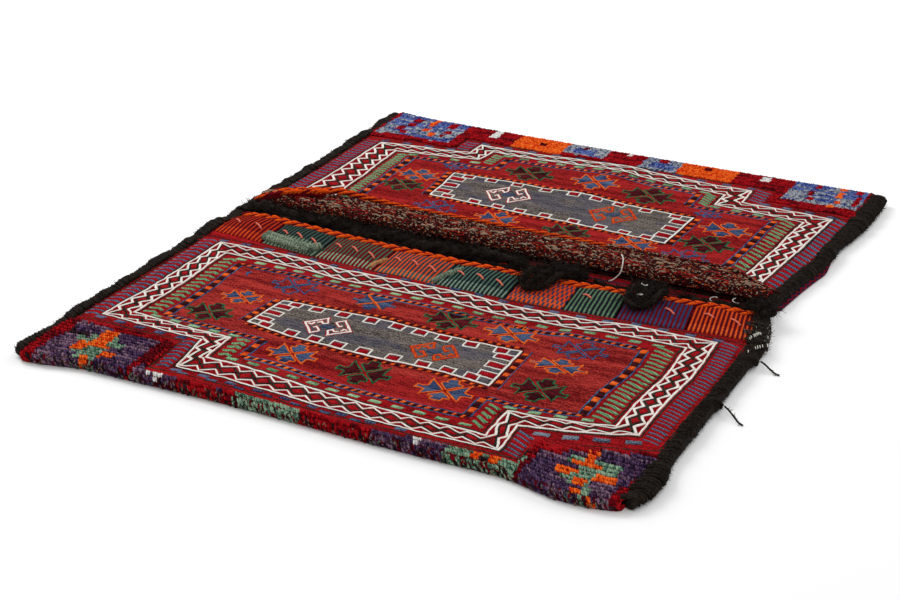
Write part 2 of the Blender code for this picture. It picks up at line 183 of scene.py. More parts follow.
WHITE_THREAD_ROUTE = (
    (0.205, 0.084, 0.0440), (0.212, 0.073, 0.0425), (0.216, 0.062, 0.0385), (0.217, 0.0555, 0.0310),
    (0.215, 0.0545, 0.0230), (0.209, 0.0530, 0.0150), (0.203, 0.0500, 0.0095), (0.197, 0.0480, 0.0068),
)


def dye(red, green, blue):
    """A colour as the eye names it, from 0 to 255, turned into light."""
    return tuple((value / 255) ** 2.2 for value in (red, green, blue))


def number_node(tree, operation, *values):
    """A Math node, fed by sockets or by plain numbers."""
    node = tree.nodes.new("ShaderNodeMath")
    node.operation = operation
    for socket, value in zip(node.inputs, values):
        if isinstance(value, bpy.types.NodeSocket):
            tree.links.new(value, socket)
        else:
            socket.default_value = value
    return node.outputs[0]


def clamped(tree, value, top=1.0):
    """A number held between 0 and its top."""
    return number_node(tree, "MINIMUM", number_node(tree, "MAXIMUM", value, 0.0), top)


def spread_from(tree, value, middle, strength):
    """How far a value lies from a middle, made stronger or weaker."""
    return number_node(tree, "MULTIPLY", number_node(tree, "SUBTRACT", value, middle), strength)


def colour_node(tree, blend, share, first, second):
    """A colour Mix node, fed by sockets or by plain values."""
    node = tree.nodes.new("ShaderNodeMix")
    node.data_type = "RGBA"
    node.blend_type = blend
    for socket, value in ((node.inputs[0], share), (node.inputs[6], first), (node.inputs[7], second)):
        if isinstance(value, bpy.types.NodeSocket):
            tree.links.new(value, socket)
        else:
            socket.default_value = value
    return node.outputs[2]


def noise_node(tree, place, stretch, detail=2.0):
    """Cloudy noise over a place that is first stretched."""
    moved = tree.nodes.new("ShaderNodeMapping")
    moved.inputs["Scale"].default_value = stretch
    tree.links.new(place, moved.inputs["Vector"])
    cloud = tree.nodes.new("ShaderNodeTexNoise")
    cloud.inputs["Scale"].default_value = 1.0
    cloud.inputs["Detail"].default_value = detail
    tree.links.new(moved.outputs[0], cloud.inputs["Vector"])
    return cloud.outputs[0]


def new_group(name, inputs, outputs):
    """An empty node group with its sockets, its own input node and its output node."""
    group = bpy.data.node_groups.new(name, "ShaderNodeTree")
    for socket_name, kind, value in inputs:
        socket = group.interface.new_socket(socket_name, in_out="INPUT", socket_type=kind)
        if value is not None:
            socket.default_value = value
    for socket_name, kind in outputs:
        group.interface.new_socket(socket_name, in_out="OUTPUT", socket_type=kind)
    return group, group.nodes.new("NodeGroupInput"), group.nodes.new("NodeGroupOutput")


def hair_group():
    """Goat hair: near-black, with fine streaks round the strand and clumps of lighter brown streaks, partly
    dust and partly painted highlight.
    """
    group, given, result = new_group(
        "goat_hair_streaks",
        [
            ("Place", "NodeSocketVector", None),
            ("Dark", "NodeSocketColor", (0, 0, 0, 1)),
            ("Light", "NodeSocketColor", (0.1, 0.1, 0.1, 1)),
            ("Dust And Highlight", "NodeSocketFloat", 0.3),
        ],
        [("Color", "NodeSocketColor"), ("Height", "NodeSocketFloat")],
    )
    streaks = noise_node(group, given.outputs["Place"], (700, 700, 700), 3.0)
    clumps = noise_node(group, given.outputs["Place"], (90, 90, 90), 2.0)
    # Dust and painted highlight: lighter brown streaks laid in clumps at random over the hair.
    dust_and_highlight = number_node(group, "MULTIPLY", spread_from(group, streaks, 0.42, 2.6), clumps)
    dust_and_highlight = clamped(group, number_node(group, "MULTIPLY", dust_and_highlight, given.outputs["Dust And Highlight"]))
    shade = colour_node(group, "MIX", dust_and_highlight, given.outputs["Dark"], given.outputs["Light"])
    group.links.new(shade, result.inputs["Color"])
    group.links.new(number_node(group, "ADD", streaks, clumps), result.inputs["Height"])
    return group


HAIR_STREAKS = hair_group()


def hair_finish(name, dark, light, dust_and_highlight_share, bump_depth=0.0012):
    """A material of goat hair or thread: streaky, dry, with a faint sheen."""
    finish = bpy.data.materials.new(name)
    finish.use_nodes = True
    tree = finish.node_tree
    shader = tree.nodes["Principled BSDF"]
    shader.inputs["Roughness"].default_value = 0.8
    shader.inputs["Specular IOR Level"].default_value = 0.08
    place = tree.nodes.new("ShaderNodeTexCoord")
    streaks = tree.nodes.new("ShaderNodeGroup")
    streaks.node_tree = HAIR_STREAKS
    streaks.inputs["Dark"].default_value = (*dark, 1)
    streaks.inputs["Light"].default_value = (*light, 1)
    streaks.inputs["Dust And Highlight"].default_value = dust_and_highlight_share
    bump = tree.nodes.new("ShaderNodeBump")
    bump.inputs["Distance"].default_value = bump_depth
    bump.inputs["Strength"].default_value = 0.8
    tree.links.new(place.outputs["Object"], streaks.inputs["Place"])
    tree.links.new(streaks.outputs["Color"], shader.inputs["Base Color"])
    tree.links.new(streaks.outputs["Height"], bump.inputs["Height"])
    tree.links.new(bump.outputs[0], shader.inputs["Normal"])
    return finish


black_hair = hair_finish("black_goat_hair", dye(13, 11, 11), dye(112, 92, 76), 0.62)
white_cotton = hair_finish("white_cotton", dye(206, 202, 192), dye(245, 243, 238), 0.8)


class Work:
    """Points, faces and flat places of one piece while it is built up; kind picks a face's material."""

    def __init__(self):
        self.points = []
        self.faces = []
        self.kinds = []
        self.flat = []

    def add(self, points, faces, flat, kind=0):
        first = len(self.points)
        self.points += points
        self.flat += flat
        self.faces += [tuple(first + corner for corner in face) for face in faces]
        self.kinds += [kind] * len(faces)

    def piece(self, name, finishes, slot, smooth=True):
        """The finished mesh, riding on the bag."""
        mesh = bpy.data.meshes.new(name)
        mesh.from_pydata(self.points, [], self.faces)
        for finish in finishes:
            mesh.materials.append(finish)
        mesh.polygons.foreach_set("material_index", self.kinds)
        mesh.polygons.foreach_set("use_smooth", [smooth] * len(mesh.polygons))
        spread = mesh.uv_layers.new(name="flat_cloth")
        places = [self.flat[loop.vertex_index] for loop in mesh.loops]
        spread.data.foreach_set("uv", [value for place in places for value in place])
        made = bpy.data.objects.new(name, mesh)
        bpy.context.scene.collection.objects.link(made)
        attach(made, "root")
        return made


def smooth_line(points, step):
    """Points about a step apart on a smooth curve through the route's own points."""
    points = [Vector(point) for point in points]
    padded = [2 * points[0] - points[1], *points, 2 * points[-1] - points[-2]]
    line = [points[0]]
    for before, start, end, after in zip(padded, padded[1:], padded[2:], padded[3:]):
        pieces = max(1, round((end - start).length / step))
        for piece in range(1, pieces + 1):
            t = piece / pieces
            line.append(
                0.5
                * (
                    2 * start
                    + (end - before) * t
                    + (2 * before - 5 * start + 4 * end - after) * t**2
                    + (3 * start - before - 3 * end + after) * t**3
                )
            )
    return line


def tube_faces(rings, sides):
    """The faces of a closed tube of so many rings of points."""
    faces = []
    for start in range(0, (rings - 1) * sides, sides):
        end = start + sides
        for side in range(sides):
            beside = (side + 1) % sides
            faces.append((start + side, start + beside, end + beside, end + side))
    faces.append(tuple(reversed(range(sides))))
    faces.append(tuple(range((rings - 1) * sides, rings * sides)))
    return faces


def tube(work, line, radius, sides=10, plies=0, lay=0.0, ply_depth=0.0, taper=0.0, kind=0):
    """A closed tube round a line; plies wind round it, one turn in each lay, and taper thins its far end."""
    points = []
    flat = []
    aside = None
    run = 0.0
    last = len(line) - 1
    for ring, centre in enumerate(line):
        forward = (line[min(ring + 1, last)] - line[max(ring - 1, 0)]).normalized()
        if aside is None:
            aside = forward.orthogonal()
        aside = (aside - forward * aside.dot(forward)).normalized()
        upward = forward.cross(aside)
        if ring:
            run += (centre - line[ring - 1]).length
        for side in range(sides):
            angle = 2 * math.pi * side / sides
            wound = math.cos(plies * angle - 2 * math.pi * run / lay) if plies else 1.0
            reach = radius * (1 - taper * ring / last) * (1 - ply_depth * (0.5 - 0.5 * wound))
            points.append(centre + reach * (math.cos(angle) * aside + math.sin(angle) * upward))
            flat.append((side / sides * 2 * math.pi * radius, run))
    work.add(points, tube_faces(len(line), sides), flat, kind)


def line_length(line):
    return sum((end - start).length for start, end in zip(line, line[1:]))


# No stray hair stands higher than this above the floor, and each one bends between its stretches
HAIR_TOP = 0.0555
HAIR_STRETCHES = 3


def hair(work, chance, root, way, length, thick, curl, sag=0.0, floor=0.0008, kind=0):
    """One stray hair: a thin three-sided tube that wanders from its root."""
    line = [root]
    way = way.normalized()
    for _ in range(HAIR_STRETCHES):
        way = way + Vector((chance.uniform(-1, 1), chance.uniform(-1, 1), chance.uniform(-1, 1))) * curl
        way.z -= sag
        way.normalize()
        point = line[-1] + way * length / HAIR_STRETCHES
        point.z = min(max(point.z, floor), HAIR_TOP)
        line.append(point)
    tube(work, line, thick / 2, sides=3, taper=0.6, kind=kind)


def hairy_cord(name, route, thick, fuzz, hair_length=(0.010, 0.026)):
    """A free cord of two plies along its route, with its stray hairs, in place of its plain solid."""
    line = smooth_line(route, 0.0028)
    body = Work()
    tube(body, line, thick * 0.53, sides=12, plies=2, lay=thick * 2.4, ply_depth=0.2)
    cord = body.piece(name, [black_hair], "goat_hair")
    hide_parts(name.replace("_hair", ""))
    chance = random.Random(name)
    fluff = Work()
    for _ in range(fuzz):
        spot = chance.randrange(1, len(line) - 1)
        forward = (line[spot + 1] - line[spot - 1]).normalized()
        out = Vector((chance.gauss(0, 1), chance.gauss(0, 1), chance.gauss(0.2, 0.8)))
        out = (out - forward * out.dot(forward)).normalized()
        way = out + forward * chance.uniform(-1.6, 1.6)
        root = line[spot] + out * thick * 0.38
        length = chance.uniform(*hair_length)
        hair(fluff, chance, root, way, length, chance.uniform(0.0007, 0.0016), 0.35, 0.06)
    tufts = fluff.piece(name + "_fuzz", [black_hair], "goat_hair")
    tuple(route[0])
    line_length(line)
    return cord


for number, (x, y, degrees, length) in enumerate(LOOPS_ON_BRIDGE, 1):
    turn = math.radians(degrees)
    height = CLOTH_THICK + SEAM_GAP + LOOP_THICK / 2
    route = [
        (
            x + along * length / LOOP_ROUTE_LENGTH * math.cos(turn) - aside * math.sin(turn),
            y + along * length / LOOP_ROUTE_LENGTH * math.sin(turn) + aside * math.cos(turn),
            height,
        )
        for along, aside in LOOP_ROUTE
    ]
    hairy_cord(f"closing_loop_{number}_hair", route, LOOP_THICK, 320)
hairy_cord("tongue_loop_hair", TONGUE_LOOP, LOOP_THICK, 620)
hairy_cord("side_loop_hair", SIDE_LOOP, LOOP_THICK, 520)
hairy_cord("middle_strand_hair", STRAND_ROUTE, STRAND_THICK, 90)
hairy_cord("right_strand_hair", RIGHT_STRAND_ROUTE, STRAND_THICK, 160)
hairy_cord("upper_thread_tail_hair", UPPER_TAIL_ROUTE, THREAD_THICK, TAIL_FUZZ, TAIL_HAIRS)
hairy_cord("lower_thread_tail_hair", LOWER_TAIL_ROUTE, THREAD_THICK, TAIL_FUZZ, TAIL_HAIRS)

white_body = Work()
white_line = smooth_line(WHITE_THREAD_ROUTE, 0.0012)
tube(white_body, white_line, WHITE_THREAD_THICK / 2, sides=8, plies=2, lay=0.005, ply_depth=0.2)
white_end = white_body.piece("white_thread_end", [white_cotton], "white_thread")
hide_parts("white_thread")
line_length(white_line)

# The woven strip: one piece of wool cloth, folded at both ends into the two pouches, with a bridge between.
# Its face is red wool in fine wefts, its reverse is brown and flecked, and its back is woven in stripes.
cloth_low, cloth_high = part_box("woven_cloth")
CLOTH_HALF = cloth_high.x
BAG_LENGTH = 1.267
POUCH_GAP = 0.009
PILE_THICK = 0.009
FACE_SLACK = 0.004
NEAR_MOUTH_Y = -0.045
NEAR_CORNER_Y = -0.008
MOUTH_RISE = 0.006
TAB_DEPTH = 0.085
SLIT_WIDTH = 0.003
TAB_SHARES = (1.12, 1.12, 1.08, 1.24, 1.17, 0.97, 0.88, 1.16, 1.08)
PILE_CORNER_DEPTH = 0.12
FAR_MOUTH_Y = 0.062
ROLL_INSIDE = 0.006
FLAP_DEPTH = 0.074
FLAP_CORNER = 0.014
FLAP_LUMP = 0.003
BRIDGE_PINCH = 0.032
PINCH_AT = (-0.13, 0.02, 0.06, 0.26)
FAR_HOLLOW = 0.008
CORNER_ROUNDING = 0.30
CORNER_REACH = 0.07
NEAR_SAG = 0.013
CORNER_SAG = 0.024
LEFT_CORNER_SAG = 0.022
LEFT_CORNER_SPREAD = 0.004
LEFT_EDGE_SPREAD = 0.009
LEFT_EDGE_FROM = 0.40
LEFT_EDGE_REACH = 0.10
RIGHT_EDGE_TUCK = 0.0075
FAR_CORNER_SPREAD = 0.007
CEILING = CLOTH_THICK + POUCH_GAP
FOLD_RADIUS = POUCH_GAP / 2
FOLD_Y = BAG_LENGTH / 2 - PILE_THICK - FOLD_RADIUS
PILE_Y = BAG_LENGTH / 2 - PILE_CORNER_DEPTH
ROLL_RADIUS = CLOTH_THICK + ROLL_INSIDE
ROLL_Y = FAR_MOUTH_Y + ROLL_RADIUS
COLUMN_STEP = 0.0085
STRIP_ROWS = {
    "near_field": 64,
    "near_pile": 18,
    "near_fold": 9,
    "near_back": 16,
    "bridge": 22,
    "far_back": 6,
    "far_floor": 16,
    "far_fold": 9,
    "far_pile": 18,
    "far_field": 42,
    "under_flap": 14,
    "mouth_fold": 12,
    "flap": 16,
}


def mixed(low, high, share):
    return low + (high - low) * share


def eased(share):
    """0 before 0, 1 after 1 and a smooth rise between them."""
    share = min(max(share, 0.0), 1.0)
    return share * share * (3 - 2 * share)


def across(x):
    """1 on the middle of the bag and 0 at its side seams."""
    return 1 - min(abs(x) / CLOTH_HALF, 1.0) ** 2


def pinch_at(y):
    """How far the right side is drawn in at y."""
    start, low, high, end = PINCH_AT
    return BRIDGE_PINCH * max(0.0, min(1.0, (y - start) / (low - start), (end - y) / (end - high)))


def by_left_edge(x):
    """1 along the bag's left edge, and 0 from a hand's breadth inside it."""
    return eased((-LEFT_EDGE_FROM - x) / LEFT_EDGE_REACH)


def lie(x, y, z):
    """Where a point of the straight, square bag lies, now that its corners, folds and sides have moved."""
    corner_x = (abs(x) - CLOTH_HALF + CORNER_REACH) / CORNER_REACH
    corner_y = (-y - BAG_LENGTH / 2 + CORNER_REACH) / CORNER_REACH
    if corner_x > 0 and corner_y > 0:
        rounding = CORNER_ROUNDING * (1.0 if x > 0 else 0.5)
        inward = min(corner_x, 1.3) ** 2
        along = min(corner_y, 1.0) ** 2
        y += CORNER_REACH * rounding * inward * corner_y * 0.5
        x -= math.copysign(CORNER_REACH * rounding * along * corner_x * 0.5, x)
    if y < -0.5:
        sag = NEAR_SAG * eased((x + 0.2) / 0.4) + CORNER_SAG * eased((x - 0.3) / 0.12)
        sag += LEFT_CORNER_SAG * by_left_edge(x)
        reached = eased((-y - 0.5) / 0.12)
        y -= sag * reached
        x -= LEFT_CORNER_SPREAD * by_left_edge(x) * reached
    if x < 0:
        x -= LEFT_EDGE_SPREAD * by_left_edge(x) * eased((0.0 - y) / 0.06)
    if y > 0:
        y -= FAR_HOLLOW * across(x) * eased((y - 0.3) / (FOLD_Y - 0.3))
        y += FAR_CORNER_SPREAD * eased((-0.44 - x) / 0.06) * eased((y - 0.55) / 0.08)
    if x > 0:
        x -= pinch_at(y) * x / CLOTH_HALF
        along_far_edge = eased((y - 0.02) / 0.2) * eased((0.54 - y) / 0.2)
        x -= RIGHT_EDGE_TUCK * eased((x - 0.40) / 0.10) * along_far_edge
    return Vector((x, y, z))


def near_mouth_y(x):
    return mixed(NEAR_CORNER_Y, NEAR_MOUTH_Y, across(x))


def mouth_rise(x):
    """How far the near mouth stands open above the pouch's side seams."""
    return MOUTH_RISE * eased(across(x) / 0.3)


def face_slack(x, y):
    """The low, slow waves of a face between its seams."""
    waves = 0.5 + 0.5 * math.sin(9 * x + 4 * y) * math.cos(13 * y - 3 * x)
    inside = eased((abs(y) - 0.16) / 0.1) * eased((FOLD_Y - 0.02 - abs(y)) / 0.1)
    return FACE_SLACK * waves * eased(across(x) / 0.25) * inside


def puckers(x, y):
    """Small puckers, a hand's breadth apart and less, as an old wool cloth has them."""
    inside = eased((abs(y) - 0.09) / 0.06) * eased((FOLD_Y - abs(y)) / 0.05) * eased(across(x) / 0.1)
    slow = noise.noise(Vector((11 * x, 15 * y, 2.7)))
    quick = noise.noise(Vector((38 * x, 52 * y, 8.1)))
    return (0.0017 * slow + 0.0006 * quick) * inside


def flap_reach(x):
    """How far the turned-out far tabs lie over the face: less and less over the first and the last tab."""
    room = 2 * CLOTH_HALF - SLIT_WIDTH * (len(TAB_SHARES) - 1)
    first = room * TAB_SHARES[0] / sum(TAB_SHARES)
    last = room * TAB_SHARES[-1] / sum(TAB_SHARES)
    nearest = min(1.0, (x + CLOTH_HALF) / first, (CLOTH_HALF - x) / last)
    return mixed(FLAP_CORNER, FLAP_DEPTH, max(0.0, nearest))


# From where to where each level stretch of the strip runs along the bag: on the floor, and on the two faces
FLOOR_SPANS = {
    "near_back": (-FOLD_Y, PINCH_AT[0]),
    "bridge": (PINCH_AT[0], PINCH_AT[1]),
    "far_back": (PINCH_AT[1], PINCH_AT[2]),
    "far_floor": (PINCH_AT[2], FOLD_Y),
}
FACE_SPANS = {
    "near_pile": (-PILE_Y, -FOLD_Y),
    "far_pile": (FOLD_Y, PILE_Y),
    "far_field": (PILE_Y, PINCH_AT[3]),
    "under_flap": (PINCH_AT[3], ROLL_Y),
}


def strip_point(x, stretch, share):
    """A point of the strip's inner side, which is the reverse of the weave."""
    turn = math.pi * share
    if stretch in FLOOR_SPANS:
        return x, mixed(*FLOOR_SPANS[stretch], share), CLOTH_THICK
    if stretch in FACE_SPANS:
        y = mixed(*FACE_SPANS[stretch], share)
        return x, y, CEILING + face_slack(x, y) + puckers(x, y)
    if stretch == "near_field":
        y = mixed(near_mouth_y(x) - TAB_DEPTH, -PILE_Y, share)
        rise = 0.4 * mouth_rise(x) * (1 - eased(share * 3))
        return x, y, CEILING + face_slack(x, y) + puckers(x, y) + rise
    if stretch == "near_fold":
        return x, -FOLD_Y - FOLD_RADIUS * math.sin(turn), CLOTH_THICK + FOLD_RADIUS * (1 + math.cos(turn))
    if stretch == "far_fold":
        return x, FOLD_Y + FOLD_RADIUS * math.sin(turn), CLOTH_THICK + FOLD_RADIUS * (1 - math.cos(turn))
    if stretch == "mouth_fold":
        return x, ROLL_Y - ROLL_RADIUS * math.sin(turn), CEILING + ROLL_RADIUS * (1 - math.cos(turn))
    lump = FLAP_LUMP * (0.5 + 0.5 * math.sin(23 * x)) * math.sin(math.pi * share)
    rest = CEILING + 2 * CLOTH_THICK + SEAM_GAP
    fall = mixed(CEILING + 2 * ROLL_RADIUS, rest, 1 - math.cos(math.pi / 2 * share))
    return x, ROLL_Y + flap_reach(x) * share, fall + lump


def middle_distance(tree, count):
    """How far a count is from the middle of its step: 0 there, and 1 at both of the step's ends."""
    swing = number_node(tree, "MULTIPLY", number_node(tree, "FRACT", count), 2.0)
    return number_node(tree, "ABSOLUTE", number_node(tree, "SUBTRACT", swing, 1.0))


def arch_over(tree, count, power):
    """A rounded arch over each step of a count."""
    return number_node(tree, "SUBTRACT", 1.0, number_node(tree, "POWER", middle_distance(tree, count), power))


def wool_group():
    """Woven wool: rows of wefts with wraps across them, cloudy dye baths and a shadow between the yarns."""
    group, given, result = new_group(
        "woven_wool_yarns",
        [
            ("Place", "NodeSocketVector", None),
            ("Dark", "NodeSocketColor", (0, 0, 0, 1)),
            ("Light", "NodeSocketColor", (1, 1, 1, 1)),
            ("Row", "NodeSocketFloat", 0.002),
            ("Wrap", "NodeSocketFloat", 0.002),
            ("Dye Bands", "NodeSocketFloat", 0.5),
            ("Groove Shade", "NodeSocketFloat", 0.4),
            ("Wander", "NodeSocketFloat", 1.4),
        ],
        [("Color", "NodeSocketColor"), ("Height", "NodeSocketFloat")],
    )
    place = given.outputs["Place"]
    parts = group.nodes.new("ShaderNodeSeparateXYZ")
    group.links.new(place, parts.inputs[0])
    wander = noise_node(group, place, (45, 45, 45), 1.0)
    rows = number_node(group, "DIVIDE", parts.outputs[1], given.outputs["Row"])
    rows = number_node(group, "ADD", rows, number_node(group, "MULTIPLY", wander, given.outputs["Wander"]))
    wraps = number_node(group, "DIVIDE", parts.outputs[0], given.outputs["Wrap"])
    odd = number_node(group, "MULTIPLY", number_node(group, "FLOOR", rows), 0.5)
    over_rows = arch_over(group, rows, 2.4)
    over_wraps = arch_over(group, number_node(group, "ADD", wraps, odd), 2.4)
    height = number_node(group, "ADD", over_rows, 0.35)
    height = number_node(group, "MULTIPLY", height, number_node(group, "ADD", over_wraps, 0.6))
    height = number_node(group, "MULTIPLY", height, 0.46)
    bands = noise_node(group, place, (5, 55, 5), 3.0)
    streaks = noise_node(group, place, (60, 400, 60), 2.0)
    grains = noise_node(group, place, (350, 350, 350), 2.0)
    share = number_node(group, "MULTIPLY", spread_from(group, bands, 0.5, given.outputs["Dye Bands"]), 3.2)
    share = number_node(group, "ADD", share, spread_from(group, streaks, 0.5, 2.4))
    share = number_node(group, "ADD", share, spread_from(group, grains, 0.5, 3.2))
    share = clamped(group, number_node(group, "ADD", share, 0.5))
    shade = colour_node(group, "MIX", share, given.outputs["Dark"], given.outputs["Light"])
    # Painted shade: the colour is darkened towards near black in the grooves between the yarns.
    shadow = number_node(group, "SUBTRACT", 1.0, height)
    shadow = clamped(group, number_node(group, "MULTIPLY", shadow, given.outputs["Groove Shade"]))
    shade = colour_node(group, "MIX", shadow, shade, (0.004, 0.002, 0.002, 1))
    group.links.new(shade, result.inputs["Color"])
    group.links.new(height, result.inputs["Height"])
    return group


WOOL_YARNS = wool_group()
# A row wider than this stands for one wrapped yarn, whose rows don't wander
SINGLE_ROW = 0.01
WOOL_ROUGHNESS = 0.9
WOOL_SPECULAR = 0.03


def cloth_place(tree):
    """The place on the cloth laid flat."""
    place = tree.nodes.new("ShaderNodeUVMap")
    place.uv_map = "flat_cloth"
    return place.outputs[0]


def new_wool(name):
    """An empty wool material and its node tree."""
    finish = bpy.data.materials.new(name)
    finish.use_nodes = True
    return finish, finish.node_tree


def dressed_wool(finish, colour, height, bump_depth):
    """The wool material with its dry shader, its colour and the height of its yarns."""
    tree = finish.node_tree
    shader = tree.nodes["Principled BSDF"]
    shader.inputs["Roughness"].default_value = WOOL_ROUGHNESS
    shader.inputs["Specular IOR Level"].default_value = WOOL_SPECULAR
    bump = tree.nodes.new("ShaderNodeBump")
    bump.inputs["Distance"].default_value = bump_depth
    tree.links.new(colour, shader.inputs["Base Color"])
    tree.links.new(height, bump.inputs["Height"])
    tree.links.new(bump.outputs[0], shader.inputs["Normal"])
    return finish


def yarns_node(tree, dark, light, row, wrap, dye_bands, groove_shade):
    """The woven yarns over the flat cloth's own place, with this wool's values."""
    yarns = tree.nodes.new("ShaderNodeGroup")
    yarns.node_tree = WOOL_YARNS
    yarns.inputs["Dark"].default_value = (*dark, 1)
    yarns.inputs["Light"].default_value = (*light, 1)
    yarns.inputs["Row"].default_value = row
    yarns.inputs["Wrap"].default_value = wrap
    yarns.inputs["Dye Bands"].default_value = dye_bands
    yarns.inputs["Groove Shade"].default_value = groove_shade
    yarns.inputs["Wander"].default_value = 0.0 if row > SINGLE_ROW else 1.4
    tree.links.new(cloth_place(tree), yarns.inputs["Place"])
    return yarns


def wool_finish(name, dark, light, row=0.0022, wrap=0.0030, dye_bands=0.5, groove_shade=0.5, bump_depth=0.0006):
    """Woven or wrapped wool of one colour, between its dark and its light dye."""
    finish, tree = new_wool(name)
    yarns = yarns_node(tree, dark, light, row, wrap, dye_bands, groove_shade)
    return dressed_wool(finish, yarns.outputs["Color"], yarns.outputs["Height"], bump_depth)


def flecked_finish():
    """The reverse of the tapestry: dark brown and wine wool, flecked with cream, red and orange weft ends."""
    finish, tree = new_wool("flecked_reverse")
    yarns = yarns_node(tree, dye(34, 18, 18), dye(92, 38, 34), 0.0032, 0.0050, 0.6, 0.5)
    place = cloth_place(tree)
    shade = yarns.outputs["Color"]
    flecks = (
        ((260, 150, 1), 0.62, (*dye(190, 162, 134), 1)),
        ((210, 170, 7), 0.65, (*dye(166, 34, 30), 1)),
        ((190, 240, 13), 0.64, (*dye(30, 20, 20), 1)),
        ((240, 130, 23), 0.68, (*dye(226, 96, 40), 1)),
    )
    for stretch, edge, colour in flecks:
        moved = tree.nodes.new("ShaderNodeMapping")
        moved.inputs["Scale"].default_value = (stretch[0], stretch[1], 1)
        moved.inputs["Location"].default_value = (stretch[2], stretch[2], 0)
        moved.inputs["Rotation"].default_value = (0, 0, 0.35)
        tree.links.new(place, moved.inputs["Vector"])
        cloud = tree.nodes.new("ShaderNodeTexNoise")
        cloud.inputs["Scale"].default_value = 1.0
        cloud.inputs["Detail"].default_value = 1.0
        tree.links.new(moved.outputs[0], cloud.inputs["Vector"])
        fleck = clamped(tree, spread_from(tree, cloud.outputs[0], edge, 18.0))
        shade = colour_node(tree, "MIX", fleck, shade, colour)
    return dressed_wool(finish, shade, yarns.outputs["Height"], 0.0012)


STRIPE_REPEAT = 0.062


def striped_finish():
    """The plain back and the bridge: stripes of red, black and dark teal wool that run across the bag."""
    finish, tree = new_wool("striped_back")
    yarns = yarns_node(tree, dye(128, 20, 28), dye(172, 36, 40), 0.0022, 0.0030, 0.5, 0.5)
    place = cloth_place(tree)
    parts = tree.nodes.new("ShaderNodeSeparateXYZ")
    tree.links.new(place, parts.inputs[0])
    ramp = tree.nodes.new("ShaderNodeValToRGB")
    ramp.color_ramp.interpolation = "CONSTANT"
    stripes = (
        (0.00, dye(158, 26, 34)),
        (0.26, dye(26, 22, 24)),
        (0.38, dye(120, 18, 30)),
        (0.47, dye(30, 52, 58)),
        (0.62, dye(26, 22, 24)),
        (0.70, dye(165, 30, 36)),
        (0.92, dye(36, 46, 70)),
    )
    ramp.color_ramp.elements[0].color = (*stripes[0][1], 1)
    ramp.color_ramp.elements.remove(ramp.color_ramp.elements[1])
    for position, colour in stripes[1:]:
        ramp.color_ramp.elements.new(position).color = (*colour, 1)
    repeat = number_node(tree, "FRACT", number_node(tree, "DIVIDE", parts.outputs[1], STRIPE_REPEAT))
    tree.links.new(repeat, ramp.inputs[0])
    grain = noise_node(tree, place, (120, 420, 1), 2.0)
    worn = number_node(tree, "ADD", number_node(tree, "MULTIPLY", grain, 0.9), 0.55)
    shade = tree.nodes.new("ShaderNodeVectorMath")
    shade.operation = "SCALE"
    tree.links.new(ramp.outputs[0], shade.inputs[0])
    tree.links.new(worn, shade.inputs["Scale"])
    return dressed_wool(finish, shade.outputs[0], yarns.outputs["Height"], 0.0006)


# Each part of a field: its finish, a place in the strip's list, then its left, right, near and far edges
FADED, SOFT = 4, 6
FIELDS = (
    (FADED, -0.385, 0.362, -0.460, -0.203),
    (SOFT, -0.192, 0.207, -0.535, -0.455),
    (SOFT, -0.365, 0.360, 0.110, 0.412),
    (SOFT, -0.189, 0.210, 0.405, 0.476),
)
field_red = wool_finish("field_red", dye(96, 8, 14), dye(186, 30, 36), dye_bands=0.7, groove_shade=0.7)
faded_red = wool_finish("faded_red", dye(102, 14, 20), dye(194, 62, 55), dye_bands=0.9, groove_shade=0.7)
soft_red = wool_finish("soft_red", dye(98, 10, 16), dye(190, 45, 45), dye_bands=0.7, groove_shade=0.7)
flecked_reverse = flecked_finish()
striped_back = striped_finish()


def build_strip():
    """The strip as a fine grid along the folded path, made as thick as its cloth towards its face."""
    columns = round(2 * CLOTH_HALF / COLUMN_STEP)
    rows = [("near_field", 0.0)]
    rows += [(stretch, (row + 1) / count) for stretch, count in STRIP_ROWS.items() for row in range(count)]
    strip = Work()
    points = []
    flat = []
    run = 0.0
    before = None
    for stretch, share in rows:
        middle = Vector(strip_point(0.0, stretch, share))
        run += (middle - before).length if before else 0.0
        before = middle
        for column in range(columns + 1):
            x = mixed(-CLOTH_HALF, CLOTH_HALF, column / columns)
            points.append(lie(*strip_point(x, stretch, share)))
            flat.append((x, run))
    for row, (stretch, _) in enumerate(rows[1:]):
        plain = stretch in FLOOR_SPANS
        start = row * (columns + 1)
        for column in range(columns):
            first = start + column
            corners = (first, first + 1, first + columns + 2, first + columns + 1)
            middle = (points[corners[0]] + points[corners[2]]) / 2
            kind = 2 if plain else 0
            for field_kind, left, right, low, high in FIELDS:
                if not plain and left < middle.x < right and low < middle.y < high:
                    kind = field_kind
            strip.faces.append(corners)
            strip.kinds.append(kind)
    strip.points = points
    strip.flat = flat
    finishes = [flecked_reverse, field_red, striped_back, striped_back]
    finishes += [flecked_reverse, faded_red, flecked_reverse, soft_red]
    piece = strip.piece("kilim_strip", finishes, "woven_wool")
    solid = piece.modifiers.new("thickness", "SOLIDIFY")
    solid.thickness = CLOTH_THICK
    solid.offset = -1.0
    solid.material_offset = 1
    solid.material_offset_rim = 1
    bpy.context.view_layer.objects.active = piece
    with bpy.context.temp_override(object=piece, active_object=piece):
        bpy.ops.object.modifier_apply(modifier=solid.name)
    return piece, run


kilim_strip, strip_length = build_strip()
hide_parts("woven_cloth")

